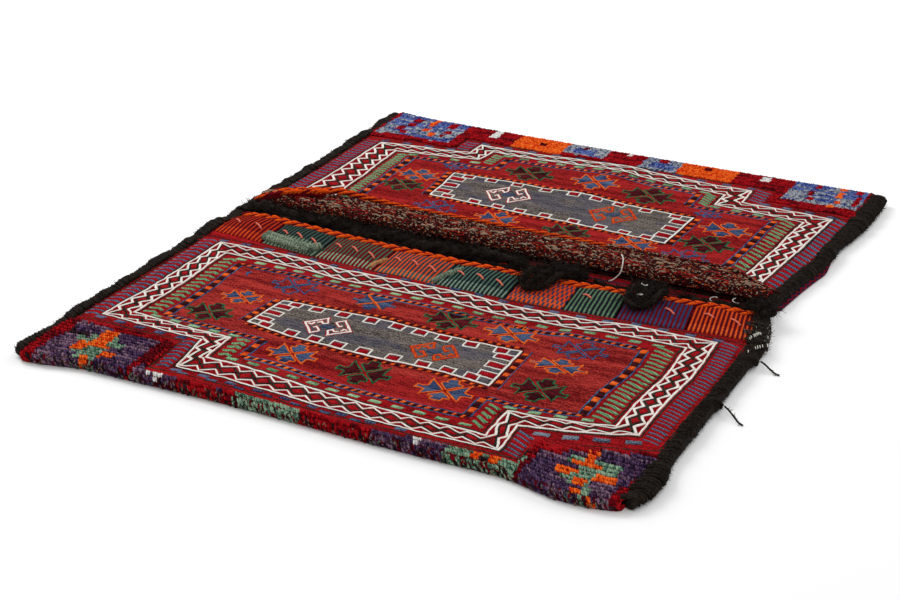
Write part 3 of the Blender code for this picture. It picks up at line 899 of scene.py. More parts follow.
# The bands of each pouch: wrapped wefts that stand a hair above the red ground and run round a stepped frame.
# From the rim inwards they are a blue-barred guard, a white reciprocal border, a green-barred guard and a
# barber-pole line. The frame's lines were drawn by hand on the loom, so they bend a little.
NEAR_FRAME = {
    "edge": (
        (-507, -120), (496, -112), (497, -501), (328, -554),
        (330, -614), (-302, -606), (-302, -510), (-507, -500),
    ),
    "outer": (
        (-465, -137), (451, -128), (453, -474), (286, -526),
        (291, -603), (-263, -585), (-278, -491), (-475, -478),
    ),
    "inner": (
        (-432, -173), (415, -167), (415, -464), (254, -491),
        (255, -570), (-238, -539), (-242, -464), (-434, -449),
    ),
    "field": (
        (-383, -203), (360, -203), (357, -457), (205, -468),
        (205, -535), (-190, -512), (-190, -447), (-383, -434),
    ),
    "bends": (
        (
            (0.18, 0, 0), (0.29, 0, -13), (0.4, 0, -10), (0.51, 0, -9),
            (0.63, 0, -17), (0.76, 0, -15), (0.85, 0, -1),
        ),
        ((0.33, 6, 0), (0.72, 0, 0)),
        ((0.3, 0, -6), (0.65, 0, -6)),
        (),
        ((0.2, 0, -5), (0.4, 0, -7), (0.52, 0, -6), (0.69, 0, 0), (0.88, 0, 4)),
        (),
        ((0.35, 0, -3),),
        ((0.35, 4, 0),),
    ),
    "closed": True,
}
FAR_FRAME = {
    "edge": (
        (-512, 110), (-497, 470), (-313, 486), (-311, 545),
        (335, 556), (335, 488), (504, 477), (480, 110),
    ),
    "outer": (
        (-470, 110), (-457, 453), (-272, 480), (-270, 528),
        (290, 536), (292, 472), (467, 463), (437, 110),
    ),
    "inner": (
        (-402, 110), (-411, 424), (-240, 453), (-234, 503),
        (251, 495), (253, 434), (426, 424), (402, 110),
    ),
    "field": (
        (-363, 110), (-364, 410), (-187, 414), (-187, 476),
        (208, 472), (208, 407), (378, 406), (358, 110),
    ),
    "bends": (
        ((0.2, 4, 0), (0.5, 7, 0), (0.8, 2, 0)),
        (),
        (),
        (
            (0.1, 0, -3), (0.2, 0, 0), (0.35, 0, 8), (0.5, 0, 17),
            (0.56, 0, 18), (0.67, 0, 8), (0.8, 0, 2), (0.92, 0, 3),
        ),
        (),
        (),
        ((0.5, 4, 0),),
    ),
    "closed": False,
}
LANES = ("edge", "outer", "inner", "field")
BORDER_PERIOD = 32.0
WHITE_YARN = 4.1
DARK_YARN = 3.6
LINE_YARN = 2.6
YARN_RISE = 1.0
PATCH_RISE = 0.45
YARN_STEP = 9.0


def face_height(x, y):
    """The height of the cloth's face over a place of the straight bag."""
    height = CEILING + CLOTH_THICK + face_slack(x, y) + puckers(x, y)
    if y < 0:
        start = near_mouth_y(x) - TAB_DEPTH
        height += 0.4 * mouth_rise(x) * (1 - eased(3 * (start - y) / (start + PILE_Y)))
    return height


def on_face(x, y, rise):
    """A place measured on the lying bag, in millimetres, set on the cloth's face; yarns wander a little."""
    x += 1.8 * noise.noise(Vector((x / 11, y / 11, 5.3)))
    y += 1.8 * noise.noise(Vector((x / 11, y / 11, 9.6)))
    x *= 0.001
    y *= 0.001
    straight = x / (1 - pinch_at(y) / CLOTH_HALF) if x > 0 else x
    return Vector((x, y, face_height(straight, y) + rise * 0.001))


def walked(points, step, closed):
    """Points no further apart than a step along a line of straight stretches, its corners kept."""
    stops = [*points, points[0]] if closed else list(points)
    spots = []
    for start, end in zip(stops, stops[1:]):
        pieces = max(1, math.ceil(math.dist(start, end) / step))
        spots += [
            (mixed(start[0], end[0], piece / pieces), mixed(start[1], end[1], piece / pieces))
            for piece in range(pieces)
        ]
    if not closed:
        spots.append(stops[-1])
    return spots


def unit(x, y):
    size = math.hypot(x, y) or 1.0
    return x / size, y / size


def yarn(work, points, width, rise=YARN_RISE, closed=False, kind=0, step=YARN_STEP):
    """A wrapped yarn along a line on the face: a low rounded ribbon with mitred corners."""
    section = ((-0.5, -0.9), (-0.38, 0.62 * rise), (0.0, rise), (0.38, 0.62 * rise), (0.5, -0.9))
    spots = walked(points, step, closed)
    count = len(spots)
    placed = []
    flat = []
    run = 0.0
    for number, (x, y) in enumerate(spots):
        before = spots[number - 1] if number or closed else None
        after = spots[(number + 1) % count] if number < count - 1 or closed else None
        ahead_way = unit(after[0] - x, after[1] - y) if after else unit(x - before[0], y - before[1])
        behind_way = unit(x - before[0], y - before[1]) if before else ahead_way
        normal = unit(-ahead_way[1] - behind_way[1], ahead_way[0] + behind_way[0])
        mitre = 1 / max(0.45, normal[1] * ahead_way[0] - normal[0] * ahead_way[1])
        run += math.dist(before, (x, y)) if before and number else 0.0
        for aside, up in section:
            offset = aside * width * mitre
            placed.append(on_face(x + normal[0] * offset, y + normal[1] * offset, up))
            flat.append((run * 0.001, (aside + 0.5) * width * 0.001))
    faces = []
    size = len(section)
    for ring in range(count if closed else count - 1):
        start = ring * size
        end = (ring + 1) % count * size
        for side in range(size):
            beside = (side + 1) % size
            faces.append((start + beside, start + side, end + side, end + beside))
    if not closed:
        faces.append(tuple(range(size)))
        faces.append(tuple(reversed(range((count - 1) * size, count * size))))
    work.add(placed, faces, flat, kind)


def patch(work, outline, rise=PATCH_RISE, kind=0, step=8.0):
    """A small field of colour on the face, spread from its middle; its outline runs either way round."""
    if sum(a[0] * b[1] - b[0] * a[1] for a, b in zip(outline, [*outline[1:], outline[0]])) < 0:
        outline = outline[::-1]
    spots = walked(outline, step, True)
    count = len(spots)
    middle = (sum(x for x, y in spots) / count, sum(y for x, y in spots) / count)
    placed = [on_face(x, y, rise) for x, y in spots] + [on_face(*middle, rise)]
    placed += [on_face(x, y, -0.9) for x, y in spots] + [on_face(*middle, -0.9)]
    flat = [(x * 0.001, y * 0.001) for x, y in [*spots, middle]] * 2
    below = count + 1
    faces = []
    for corner in range(count):
        beside = (corner + 1) % count
        faces.append((corner, beside, count))
        faces.append((below + beside, below + corner, below + count))
        faces.append((beside, corner, below + corner, below + beside))
    work.add(placed, faces, flat, kind)


def bend_at(bends, share):
    """How far a side's line lies from straight, at a share of the way along it."""
    stops = [(0, 0, 0), *bends, (1, 0, 0)]
    for start, end in zip(stops, stops[1:]):
        if share <= end[0]:
            part = eased((share - start[0]) / (end[0] - start[0]))
            return mixed(start[1], end[1], part), mixed(start[2], end[2], part)
    return 0, 0


def frame_place(band, side, share, lane):
    """A place on a side of a frame: lane -1 is its edge, 0 the outer line, 1 the inner line, 2 the field."""
    low = min(max(math.floor(lane), -1), 1)
    points = []
    for name in (LANES[low + 1], LANES[low + 2]):
        corners = band[name]
        start = corners[side]
        end = corners[(side + 1) % len(corners)]
        points.append((mixed(start[0], end[0], share), mixed(start[1], end[1], share)))
    bend_x, bend_y = bend_at(band["bends"][side], share)
    x = mixed(points[0][0], points[1][0], lane - low) + bend_x
    return x, mixed(points[0][1], points[1][1], lane - low) + bend_y


def spot(band, side, share, lane, along=0.0, outward=0.0):
    """A place on a frame, moved by millimetres along its side and outward from it."""
    x, y = frame_place(band, side, share, lane)
    before = frame_place(band, side, share - 0.01, lane)
    after = frame_place(band, side, share + 0.01, lane)
    way = unit(after[0] - before[0], after[1] - before[1])
    return x + way[0] * along - way[1] * outward, y + way[1] * along + way[0] * outward


def sides_of(band):
    return range(len(band["bends"]))


def side_length(band, side, lane):
    return math.dist(frame_place(band, side, 0, lane), frame_place(band, side, 1, lane))


def upright(band, side):
    """Whether a side runs along the bag rather than across it."""
    start = frame_place(band, side, 0, 0)
    end = frame_place(band, side, 1, 0)
    return abs(end[1] - start[1]) > abs(end[0] - start[0])


def whole_line(work, band, lane, width, outward=0.0, rise=YARN_RISE, kind=0):
    """One yarn all the way round a frame."""
    line = []
    for side in sides_of(band):
        pieces = max(2, round(side_length(band, side, lane) / 14))
        stops = range(pieces) if band["closed"] or side < len(band["bends"]) - 1 else range(pieces + 1)
        if outward:
            stops = [max(stop, 0.04) for stop in stops]
        line += [spot(band, side, stop / pieces, lane, 0.0, outward) for stop in stops]
    yarn(work, line, width, rise, band["closed"], kind)


def zigzag(work, band, side, count, valley, apex, width, kind=0, rise=YARN_RISE):
    """A zigzag yarn along one side, from a lane to another and back in each repeat."""
    line = []
    for turn in range(count):
        line.append(frame_place(band, side, turn / count, valley))
        line.append(frame_place(band, side, (turn + 0.5) / count, apex))
    line.append(frame_place(band, side, 1.0, valley))
    yarn(work, line, width, rise, kind=kind)


BLOCK_CORNERS = ((-1, -1), (1, -1), (1, 1), (-1, 1))


def box_spots(band, side, share, lane, half_along, half_out, outward=0.0, slant=0.0):
    """The corners of a small block of colour on a side."""
    return [
        spot(band, side, share, lane, half_along * a + slant * b, outward + half_out * b)
        for a, b in BLOCK_CORNERS
    ]


white_wool = wool_finish("white_wool", dye(214, 208, 196), dye(250, 248, 242), 0.02, 0.0026, 0.3, 0.22)
dark_wool = wool_finish("dark_wool", dye(20, 22, 22), dye(58, 62, 54), 0.02, 0.0028, 0.5, 0.3)
core_red = wool_finish("core_red", dye(104, 10, 20), dye(158, 22, 34), 0.0024, 0.0034)
diamond_red = wool_finish("diamond_red", dye(132, 14, 22), dye(188, 32, 40), 0.0024, 0.0034)

white_lines = Work()
dark_lines = Work()
band_fields = Work()
for band in (NEAR_FRAME, FAR_FRAME):
    for lane in (0, 1):
        whole_line(white_lines, band, lane, WHITE_YARN)
    whole_line(dark_lines, band, -0.11, LINE_YARN * 1.3, rise=0.7)
    whole_line(dark_lines, band, 1.11, LINE_YARN * 1.3, rise=0.7)
    whole_line(dark_lines, band, -0.97, LINE_YARN, rise=0.6)
    for side in sides_of(band):
        count = max(2, round(side_length(band, side, 0.5) / BORDER_PERIOD))
        stout = 1.2 if upright(band, side) else 0.82
        zigzag(white_lines, band, side, count, 0.10, 0.37, WHITE_YARN * stout)
        zigzag(white_lines, band, side, count, 0.90, 0.63, WHITE_YARN * stout)
        zigzag(dark_lines, band, side, count, 0.25, 0.52, DARK_YARN * max(stout, 1.05), rise=0.8)
        zigzag(dark_lines, band, side, count, 0.75, 0.48, DARK_YARN * max(stout, 1.05), rise=0.8)
        for turn in range(count):
            for base, tip in ((0.11, 0.30), (0.89, 0.70)):
                corners = ((0.2, base), (0.8, base), (0.5, tip))
                core = [frame_place(band, side, (turn + part) / count, lane) for part, lane in corners]
                patch(band_fields, core, 0.5, kind=0)
            if turn:
                corners = ((-0.3, 0.5), (0, 0.3), (0.3, 0.5), (0, 0.7))
                diamond = [frame_place(band, side, (turn + part) / count, lane) for part, lane in corners]
                patch(band_fields, diamond, 0.5, kind=1)
white_lines.piece("white_border_yarns", [white_wool], "woven_wool")
dark_lines.piece("dark_border_yarns", [dark_wool], "woven_wool")
band_fields.piece("border_diamonds", [core_red, diamond_red], "woven_wool")

# The guards beside the white border: slanted bars on the upright sides and short dashes on the others.
# Green wool stripes the inner guard and blue wool the outer one, both laid over the red ground.
# A green bar's width in millimetres, and a blue bar's as a share of its side's pitch
GREEN_BAR = 7.2
BLUE_BAR = 0.41
GREEN_LANE = 1.47
BLUE_LANE = -0.52
GREEN_DASH_LANE = 1.42
BLUE_DASH_LANE = -0.5
LOW_DASH_LANE = -0.8
DASH_PITCH = 39.0
bar_green = wool_finish("bar_green", dye(66, 116, 80), dye(160, 200, 156), 0.02, 0.0028, 0.9, 0.4)
bar_blue = wool_finish("bar_blue", dye(44, 66, 100), dye(128, 150, 166), 0.02, 0.0028, 0.9, 0.4)
guard_red = wool_finish("guard_red", dye(140, 12, 22), dye(196, 30, 38), 0.02, 0.0028, 0.5, 0.35)
dash_blue = wool_finish("dash_blue", dye(30, 44, 84), dye(112, 126, 156), 0.0026, 0.0040, 0.9, 0.5)
dash_grey = wool_finish("dash_grey", dye(38, 50, 84), dye(140, 150, 164), 0.0034, 0.0050, 0.9, 0.8)
# A blue dash: half its length, half its depth and its wool; two sides across the near pouch have their own
PLAIN_DASH = (8.5, 3.2, 3)
NEAR_DASHES = {2: (12.0, 5.0, 4), 6: (8.5, 4.2, 3)}
NEAR_ARCH = ((-1.0, -1.6), (-0.2, 2.6), (1.0, -3.0))
NEAR_SLOPE = ((-1.0, -5.0), (-0.2, -2.6), (1.0, 6.0))
STEEP_SLOPE = ((-1.0, -6.5), (0.0, -0.5), (1.0, 6.5))
FLAT_ARCH = ((-1.0, 1.5), (0.0, -1.0), (1.0, 2.5))
SHALLOW_SLOPE = ((-1.0, -2.5), (0.0, -1.0), (1.0, 3.5))


def barred_side(work, band, side, lane, reach, pitch, width, shape, kind=0, shift=0.0):
    """Slanted bars along an upright side of a guard; shape says how each runs, from inside to outside."""
    count = max(1, round(side_length(band, side, lane) / pitch))
    for turn in range(count):
        share = (turn + 0.5 + shift) / count
        uneven = 1 + 0.3 * noise.noise(Vector((0.9 * turn, 3.1 * side, lane)))
        line = [spot(band, side, share, lane, along * uneven, out * reach) for out, along in shape]
        yarn(work, line, width * uneven, 0.8, kind=kind, step=7.0)


guards = Work()
# The bars of each upright side: its frame, its number, the bars' shape, their reach and their pitch
GREEN_BARS = (
    (NEAR_FRAME, 1, NEAR_SLOPE, 16, 13.6),
    (NEAR_FRAME, 3, STEEP_SLOPE, 10, 13.6),
    (NEAR_FRAME, 5, NEAR_ARCH, 11, 13.6),
    (NEAR_FRAME, 7, NEAR_ARCH, 13, 15.0),
    (FAR_FRAME, 0, NEAR_ARCH, 10, 11.4),
    (FAR_FRAME, 2, FLAT_ARCH, 10, 11.4),
    (FAR_FRAME, 4, STEEP_SLOPE, 10, 11.4),
    (FAR_FRAME, 6, STEEP_SLOPE, 13, 15.5),
)
for band, side, shape, reach, pitch in GREEN_BARS:
    barred_side(guards, band, side, GREEN_LANE, reach, pitch, GREEN_BAR, shape)
BLUE_BARS = (
    (NEAR_FRAME, 1, SHALLOW_SLOPE, 13, 11.2),
    (NEAR_FRAME, 3, STEEP_SLOPE, 13, 11.2),
    (NEAR_FRAME, 5, NEAR_ARCH, 11, 12.5),
    (NEAR_FRAME, 7, NEAR_ARCH, 14, 14.0),
    (FAR_FRAME, 0, FLAT_ARCH, 13, 13.0),
    (FAR_FRAME, 2, FLAT_ARCH, 13, 12.5),
    (FAR_FRAME, 4, STEEP_SLOPE, 15, 12.5),
    (FAR_FRAME, 6, STEEP_SLOPE, 13, 16.5),
)
for band, side, shape, reach, pitch in BLUE_BARS:
    width = BLUE_BAR * pitch
    barred_side(guards, band, side, BLUE_LANE, reach, pitch, width, shape, kind=1)
    barred_side(guards, band, side, BLUE_LANE, reach, pitch, width * 0.8, shape, kind=2, shift=0.5)
for band in (NEAR_FRAME, FAR_FRAME):
    for side in sides_of(band):
        if upright(band, side):
            continue
        count = max(1, round(side_length(band, side, 1.4) / DASH_PITCH))
        for turn in range(count):
            share = (turn + 0.5) / count
            patch(guards, box_spots(band, side, share, GREEN_DASH_LANE, 9.5, 3.6, slant=1.0), 0.7, kind=0)
            own_dashes = NEAR_DASHES if band is NEAR_FRAME else {}
            half_along, half_out, dash_kind = own_dashes.get(side, PLAIN_DASH)
            on_bottom = band is NEAR_FRAME and side == 4
            if not on_bottom or turn > 2:
                dash = box_spots(band, side, share, BLUE_DASH_LANE, half_along, half_out, slant=1.0)
                patch(guards, dash, 0.7, kind=dash_kind)
            share = (turn + 1.0) / count
            if on_bottom and 3 < turn < count - 1:
                patch(guards, box_spots(band, side, share, LOW_DASH_LANE, 9.0, 2.8), 0.7, kind=3)
        whole = [spot(band, side, stop / 12, GREEN_DASH_LANE, 0, 7.5) for stop in range(13)]
        yarn(guards, whole, 2.0, 0.5, kind=2)
guards.piece("guard_bars", [bar_green, bar_blue, guard_red, dash_blue, dash_grey], "woven_wool")

# The barber-pole line round the field, and the same line round each cartouche: orange and black blocks in
# turn between two blue lines. On the upright sides the blocks are square, on the others short dashes.
POLE_PITCH = 30.0
POLE_DASH_PITCH = 14.2
POLE_HALF = 5.3
DASH_HALF = 3.6
orange_wool = wool_finish("orange_wool", dye(196, 54, 14), dye(250, 116, 44), 0.02, 0.0030, 0.9, 0.4)
black_wool = wool_finish("black_wool", dye(30, 10, 14), dye(74, 26, 32), 0.02, 0.0030, 0.9, 0.35)
line_blue = wool_finish("line_blue", dye(24, 50, 92), dye(84, 122, 156), 0.02, 0.0028, 0.9, 0.3)


def pole_blocks(work, place, length, pitch, half_out, slant):
    """Orange and black blocks along a line; place gives a spot from a share, an along and an outward move."""
    count = max(2, round(length / pitch))
    for turn in range(count):
        for part, kind in ((0.25, 0), (0.75, 1)):
            uneven = noise.noise(Vector((1.7 * turn, length * 0.01, 0.3)))
            half_along = pitch * (0.20 + 0.07 * uneven if kind == 0 else 0.27)
            share = (turn + part + 0.1 * uneven) / count
            block = [place(share, half_along * a + slant * b, half_out * b) for a, b in BLOCK_CORNERS]
            patch(work, block, 0.7, kind=kind, step=9.0)


poles = Work()
for band in (NEAR_FRAME, FAR_FRAME):
    for side in sides_of(band):
        standing = upright(band, side)
        half = POLE_HALF if standing else DASH_HALF

        def on_pole(share, along, outward):
            return spot(band, side, share, 2.0, along, outward)

        pole_blocks(
            poles,
            on_pole,
            side_length(band, side, 2.0),
            POLE_PITCH if standing else POLE_DASH_PITCH,
            half,
            0.0 if standing else 1.5,
        )
        for edge in (-1, 1):
            ends = (0.02, 0.98)
            pieces = max(2, round(side_length(band, side, 2.0) / 14))
            outward = edge * (half + 1.8)
            line = [on_pole(mixed(*ends, stop / pieces), 0, outward) for stop in range(pieces + 1)]
            yarn(poles, line, LINE_YARN * 1.2, 0.7, kind=2)
poles.piece("field_pole_line", [orange_wool, black_wool, line_blue], "woven_wool")

# The cartouche of each pouch: a long field of grey-brown wool with a toothed white edge and two figures.
# Each tooth is a red block inside a white bracket; a fine orange and black line runs round the outside.
NEAR_CARTOUCHE = {
    "top": ((-240, -301), (-140, -300), (-47, -299), (99, -303), (188, -297)),
    "bottom": ((-249, -397), (-172, -412), (-67, -416), (0, -418), (95, -416), (157, -422), (194, -428)),
    "teeth": 9,
    "end_teeth": (3, 3),
}
FAR_CARTOUCHE = {
    "top": ((-249, 363), (-172, 365), (-67, 365), (20, 374), (99, 361), (240, 350)),
    "bottom": ((-238, 236), (-67, 235), (37, 236), (78, 235), (161, 226), (233, 220)),
    "teeth": 9,
    "end_teeth": (3, 3),
}
END_TEETH_REACH = 31.0
END_TOOTH_HALF = 0.078
TOOTH_WIDE = 22.0
TOOTH_DEEP = 12.0


def along_line(points, share):
    """A point of a hand-drawn edge at a share of its way across."""
    place = mixed(points[0][0], points[-1][0], share)
    for start, end in zip(points, points[1:]):
        if place <= end[0] or end is points[-1]:
            part = (place - start[0]) / (end[0] - start[0])
            return place, mixed(start[1], end[1], part)
    return points[-1]


def in_cartouche(cartouche, share, depth):
    """A place in a cartouche: share runs from left to right, depth from its top edge to its bottom edge."""
    high = along_line(cartouche["top"], share)
    low = along_line(cartouche["bottom"], share)
    return mixed(high[0], low[0], depth), mixed(high[1], low[1], depth)


def slab_faces(wide, deep):
    """The faces of a closed slab: a grid, the same grid below it, and the rim that joins them."""
    size = (wide + 1) * (deep + 1)
    faces = []
    for row in range(deep):
        for column in range(wide):
            start = row * (wide + 1) + column
            below = start + wide + 1
            faces.append((start, below, below + 1, start + 1))
            faces.append((size + start, size + start + 1, size + below + 1, size + below))
    rim = list(range(wide + 1))
    rim += [row * (wide + 1) + wide for row in range(1, deep + 1)]
    rim += [deep * (wide + 1) + column for column in range(wide - 1, -1, -1)]
    rim += [row * (wide + 1) for row in range(deep - 1, 0, -1)]
    for start, end in zip(rim, [*rim[1:], rim[0]]):
        faces.append((start, end, size + end, size + start))
    return faces


def cartouche_field(work, cartouche, rise):
    """The grey-brown field as one closed cushion of small faces."""
    wide, deep = 44, 12
    placed = []
    flat = []
    for level_rise in (rise, -0.9):
        for row in range(deep + 1):
            for column in range(wide + 1):
                x, y = in_cartouche(cartouche, column / wide, row / deep)
                placed.append(on_face(x, y, level_rise))
                flat.append((x * 0.001, y * 0.001))
    work.add(placed, slab_faces(wide, deep), flat)


def cartouche_finish():
    """Grey-brown wool whose dye turned blue-grey in clouds."""
    finish, tree = new_wool("cartouche_grey")
    yarns = yarns_node(tree, dye(44, 40, 42), dye(134, 124, 116), 0.0022, 0.0030, 0.4, 0.5)
    clouds = noise_node(tree, cloth_place(tree), (9, 22, 1), 3.0)
    clouds = clamped(tree, spread_from(tree, clouds, 0.47, 7.0), 0.38)
    shade = colour_node(tree, "MIX", clouds, yarns.outputs["Color"], (*dye(62, 64, 88), 1))
    return dressed_wool(finish, shade, yarns.outputs["Height"], 0.0006)


cartouche_grey = cartouche_finish()
tooth_red = wool_finish("tooth_red", dye(128, 12, 24), dye(176, 26, 38), 0.0026, 0.0034)
cartouche_ground = Work()
cartouche_white = Work()
cartouche_teeth = Work()
cartouche_pole = Work()
for cartouche in (NEAR_CARTOUCHE, FAR_CARTOUCHE):
    cartouche_field(cartouche_ground, cartouche, 0.4)
    wide = cartouche["top"][-1][0] - cartouche["top"][0][0]
    deep = cartouche["top"][0][1] - cartouche["bottom"][0][1]
    outline = [in_cartouche(cartouche, stop / 30, 0) for stop in range(31)]
    outline += [in_cartouche(cartouche, 1 - stop / 30, 1) for stop in range(31)]
    yarn(cartouche_white, outline, WHITE_YARN, closed=True)
    for edge in (0, 1):
        inward = 1 - 2 * edge
        for turn in range(cartouche["teeth"]):
            middle = (turn + 0.62 + 0.1 * math.sin(5 * turn + 3 * edge)) / (cartouche["teeth"] + 0.3)
            half = TOOTH_WIDE / 2 / wide
            drop = (TOOTH_DEEP + 4) / deep
            bracket = (
                (middle - half, edge),
                (middle - half, edge + inward * drop),
                (middle + half, edge + inward * drop),
                (middle + half, edge),
            )
            around = [in_cartouche(cartouche, *corner) for corner in bracket]
            yarn(cartouche_white, around, WHITE_YARN * 0.85)
            near_edge = edge + inward * 2.0 / deep
            far_edge = edge + inward * TOOTH_DEEP / deep
            red = ((-0.76, near_edge), (0.76, near_edge), (0.76, far_edge), (-0.76, far_edge))
            tooth = [in_cartouche(cartouche, middle + part * half, depth) for part, depth in red]
            patch(cartouche_teeth, tooth, 0.8)
    for edge in (0, 1):
        inward = 1 - 2 * edge
        reach = END_TEETH_REACH / wide
        count = cartouche["end_teeth"][edge]
        for turn in range(count):
            middle = (turn + 0.85) / (count + 0.7)
            half = END_TOOTH_HALF
            inner_half = 0.7 * half
            bracket = (
                (edge, middle - half),
                (edge + inward * reach, middle - half),
                (edge + inward * reach, middle + half),
                (edge, middle + half),
            )
            around = [in_cartouche(cartouche, *corner) for corner in bracket]
            yarn(cartouche_white, around, WHITE_YARN * 0.8)
            start = edge + inward * 3 / wide
            end = edge + inward * (END_TEETH_REACH - 3) / wide
            red = (
                (start, middle - inner_half),
                (end, middle - inner_half),
                (end, middle + inner_half),
                (start, middle + inner_half),
            )
            patch(cartouche_teeth, [in_cartouche(cartouche, *corner) for corner in red], 0.8)
    for edge in (0, 1):
        outside = edge + (2 * edge - 1) * 8.0 / deep

        def on_long_edge(share, along, outward):
            x, y = in_cartouche(cartouche, share, outside)
            return x + along, y + outward

        pole_blocks(cartouche_pole, on_long_edge, wide, 15.0, 2.6, 1.0)
        line = [in_cartouche(cartouche, stop / 30, edge + (2 * edge - 1) * 3.6 / deep) for stop in range(31)]
        yarn(cartouche_pole, line, 2.0, 0.7, kind=1)

        beside = edge + (2 * edge - 1) * 10.5 / wide

        def on_end(share, along, outward):
            x, y = in_cartouche(cartouche, beside, share)
            return x + outward, y + along

        pole_blocks(cartouche_pole, on_end, deep + 12, 22.0, 4.8, 0.0)
        for gap in (3.4, 17.5):
            side_share = edge + (2 * edge - 1) * gap / wide
            line = [in_cartouche(cartouche, side_share, stop / 8 * 1.08 - 0.04) for stop in range(9)]
            yarn(cartouche_pole, line, 2.2, 0.7, kind=1 if gap < 5 else 2)
cartouche_ground.piece("cartouche_field", [cartouche_grey], "woven_wool")
cartouche_white.piece("cartouche_white_edge", [white_wool], "woven_wool")
cartouche_teeth.piece("cartouche_teeth", [tooth_red], "woven_wool")
cartouche_pole.piece("cartouche_pole_line", [orange_wool, black_wool, line_blue], "woven_wool")

# The two hooked figures in each cartouche: one half is drawn and the other is the same, turned half round.
# One figure is white edged with red, the other is orange, and both have a blue middle.
HOOK_OUTER = ((-6, 15), (-13, 33), (-40, -1), (-15, -38), (-5, -23))
HOOK_TOP = ((-6, 15), (-11, 7), (-18, 14), (-23, 8))
HOOK_LOW = ((-5, -23), (-16, -9), (-20, -16))
HOOK_MIDDLE = ((-26, 7), (-27, -3), (-34, -1))
HOOK_HEART = ((-12, 8), (10, 10), (12, -8), (-10, -10))
# Each figure: its place, its size across and along, and its wool
HOOKED_FIGURES = (
    (-124, -358, 1.02, 0.80, 0),
    (68, -360, 1.02, 0.82, 1),
    (-109, 304, 1.08, 1.04, 0),
    (102, 302, 1.12, 1.06, 1),
)
figure_blue = wool_finish("figure_blue", dye(48, 56, 82), dye(82, 92, 112), 0.0024, 0.0034)
figure_edge = wool_finish("figure_edge", dye(136, 16, 26), dye(186, 34, 40), 0.02, 0.003, 0.4, 0.3)
hooked = Work()
for x, y, wide, deep, colour in HOOKED_FIGURES:
    patch(hooked, [(x + a * wide, y + b * deep) for a, b in HOOK_HEART], 0.6, kind=3)
    for turn in (1, -1):
        for line in (HOOK_OUTER, HOOK_TOP, HOOK_LOW, HOOK_MIDDLE):
            points = [(x + turn * a * wide, y + turn * b * deep) for a, b in line]
            yarn(hooked, points, 9.0 if colour == 0 else 7.5, 0.7, kind=2, step=5.0)
            yarn(hooked, points, 4.6 if colour == 0 else 4.8, 1.15, kind=colour, step=5.0)
hooked.piece("hooked_figures", [white_wool, orange_wool, figure_edge, figure_blue], "woven_wool")

# The stars of the field: four lobes parted by two crossed lines of the ground, each outlined in one yarn.
# Green stars are filled with dark wool, orange ones with blue, and the blue outlines are left open.
LEFT_LOBE = (
    (-4, 2), (-31, 29), (-30, 6), (-37, 3), (-45, 4),
    (-45, -6), (-37, -5), (-30, -8), (-30, -25), (-5, -2),
)
TOP_LOBE = (
    (0, 5), (-15, 21), (-15, 26), (-8, 27), (-9, 34),
    (-7, 39), (8, 39), (9, 28), (17, 26), (17, 21),
)
STAR_YARN = 3.3
ORANGE_STAR_YARN = 4.0
# Each star: its place, its size across and along, and its kind, 0 green, 1 orange, 2 blue, 3 no outline
STARS = (
    (-251, -243, 0.95, 0.86, 2),
    (-101, -243, 0.86, 0.80, 3),
    (41, -247, 1.02, 0.98, 0),
    (149, -247, 1.02, 0.86, 1),
    (270, -252, 1.00, 0.92, 2),
    (-309, -318, 0.86, 0.70, 1),
    (-326, -392, 0.92, 0.90, 0),
    (262, -322, 1.05, 0.70, 1),
    (270, -410, 1.00, 1.04, 0),
    (-126, -468, 0.96, 0.92, 1),
    (3, -472, 1.00, 1.06, 0),
    (141, -472, 1.04, 1.00, 1),
    (-118, 422, 1.06, 1.00, 0),
    (13, 436, 1.06, 1.08, 1),
    (128, 419, 1.14, 1.08, 0),
    (-265, 400, 0.56, 0.48, 2),
    (258, 380, 0.56, 0.44, 2),
    (-309, 323, 0.98, 0.86, 1),
    (-309, 261, 0.94, 0.86, 0),
    (312, 319, 1.08, 0.92, 1),
    (303, 244, 1.10, 0.94, 0),
    (-205, 190, 0.94, 0.72, 2),
    (-80, 190, 0.94, 0.84, 1),
    (58, 190, 0.98, 0.90, 0),
    (183, 192, 0.98, 0.84, 1),
    (287, 180, 0.94, 0.72, 2),
)
outline_green = wool_finish("outline_green", dye(16, 74, 48), dye(74, 146, 100), 0.02, 0.003, 0.9, 0.35)
outline_orange = wool_finish("outline_orange", dye(206, 74, 18), dye(252, 142, 66), 0.02, 0.003, 0.9, 0.35)
outline_blue = wool_finish("outline_blue", dye(36, 64, 108), dye(90, 122, 154), 0.02, 0.003, 0.9, 0.35)
star_dark = wool_finish("star_dark", dye(38, 8, 16), dye(96, 26, 34), 0.0024, 0.0034, 0.9, 0.5)
star_blue = wool_finish("star_blue", dye(30, 46, 86), dye(92, 108, 138), 0.0024, 0.0034, 0.9, 0.5)
stars = Work()
FILLS = {0: 3, 1: 4, 3: 4}
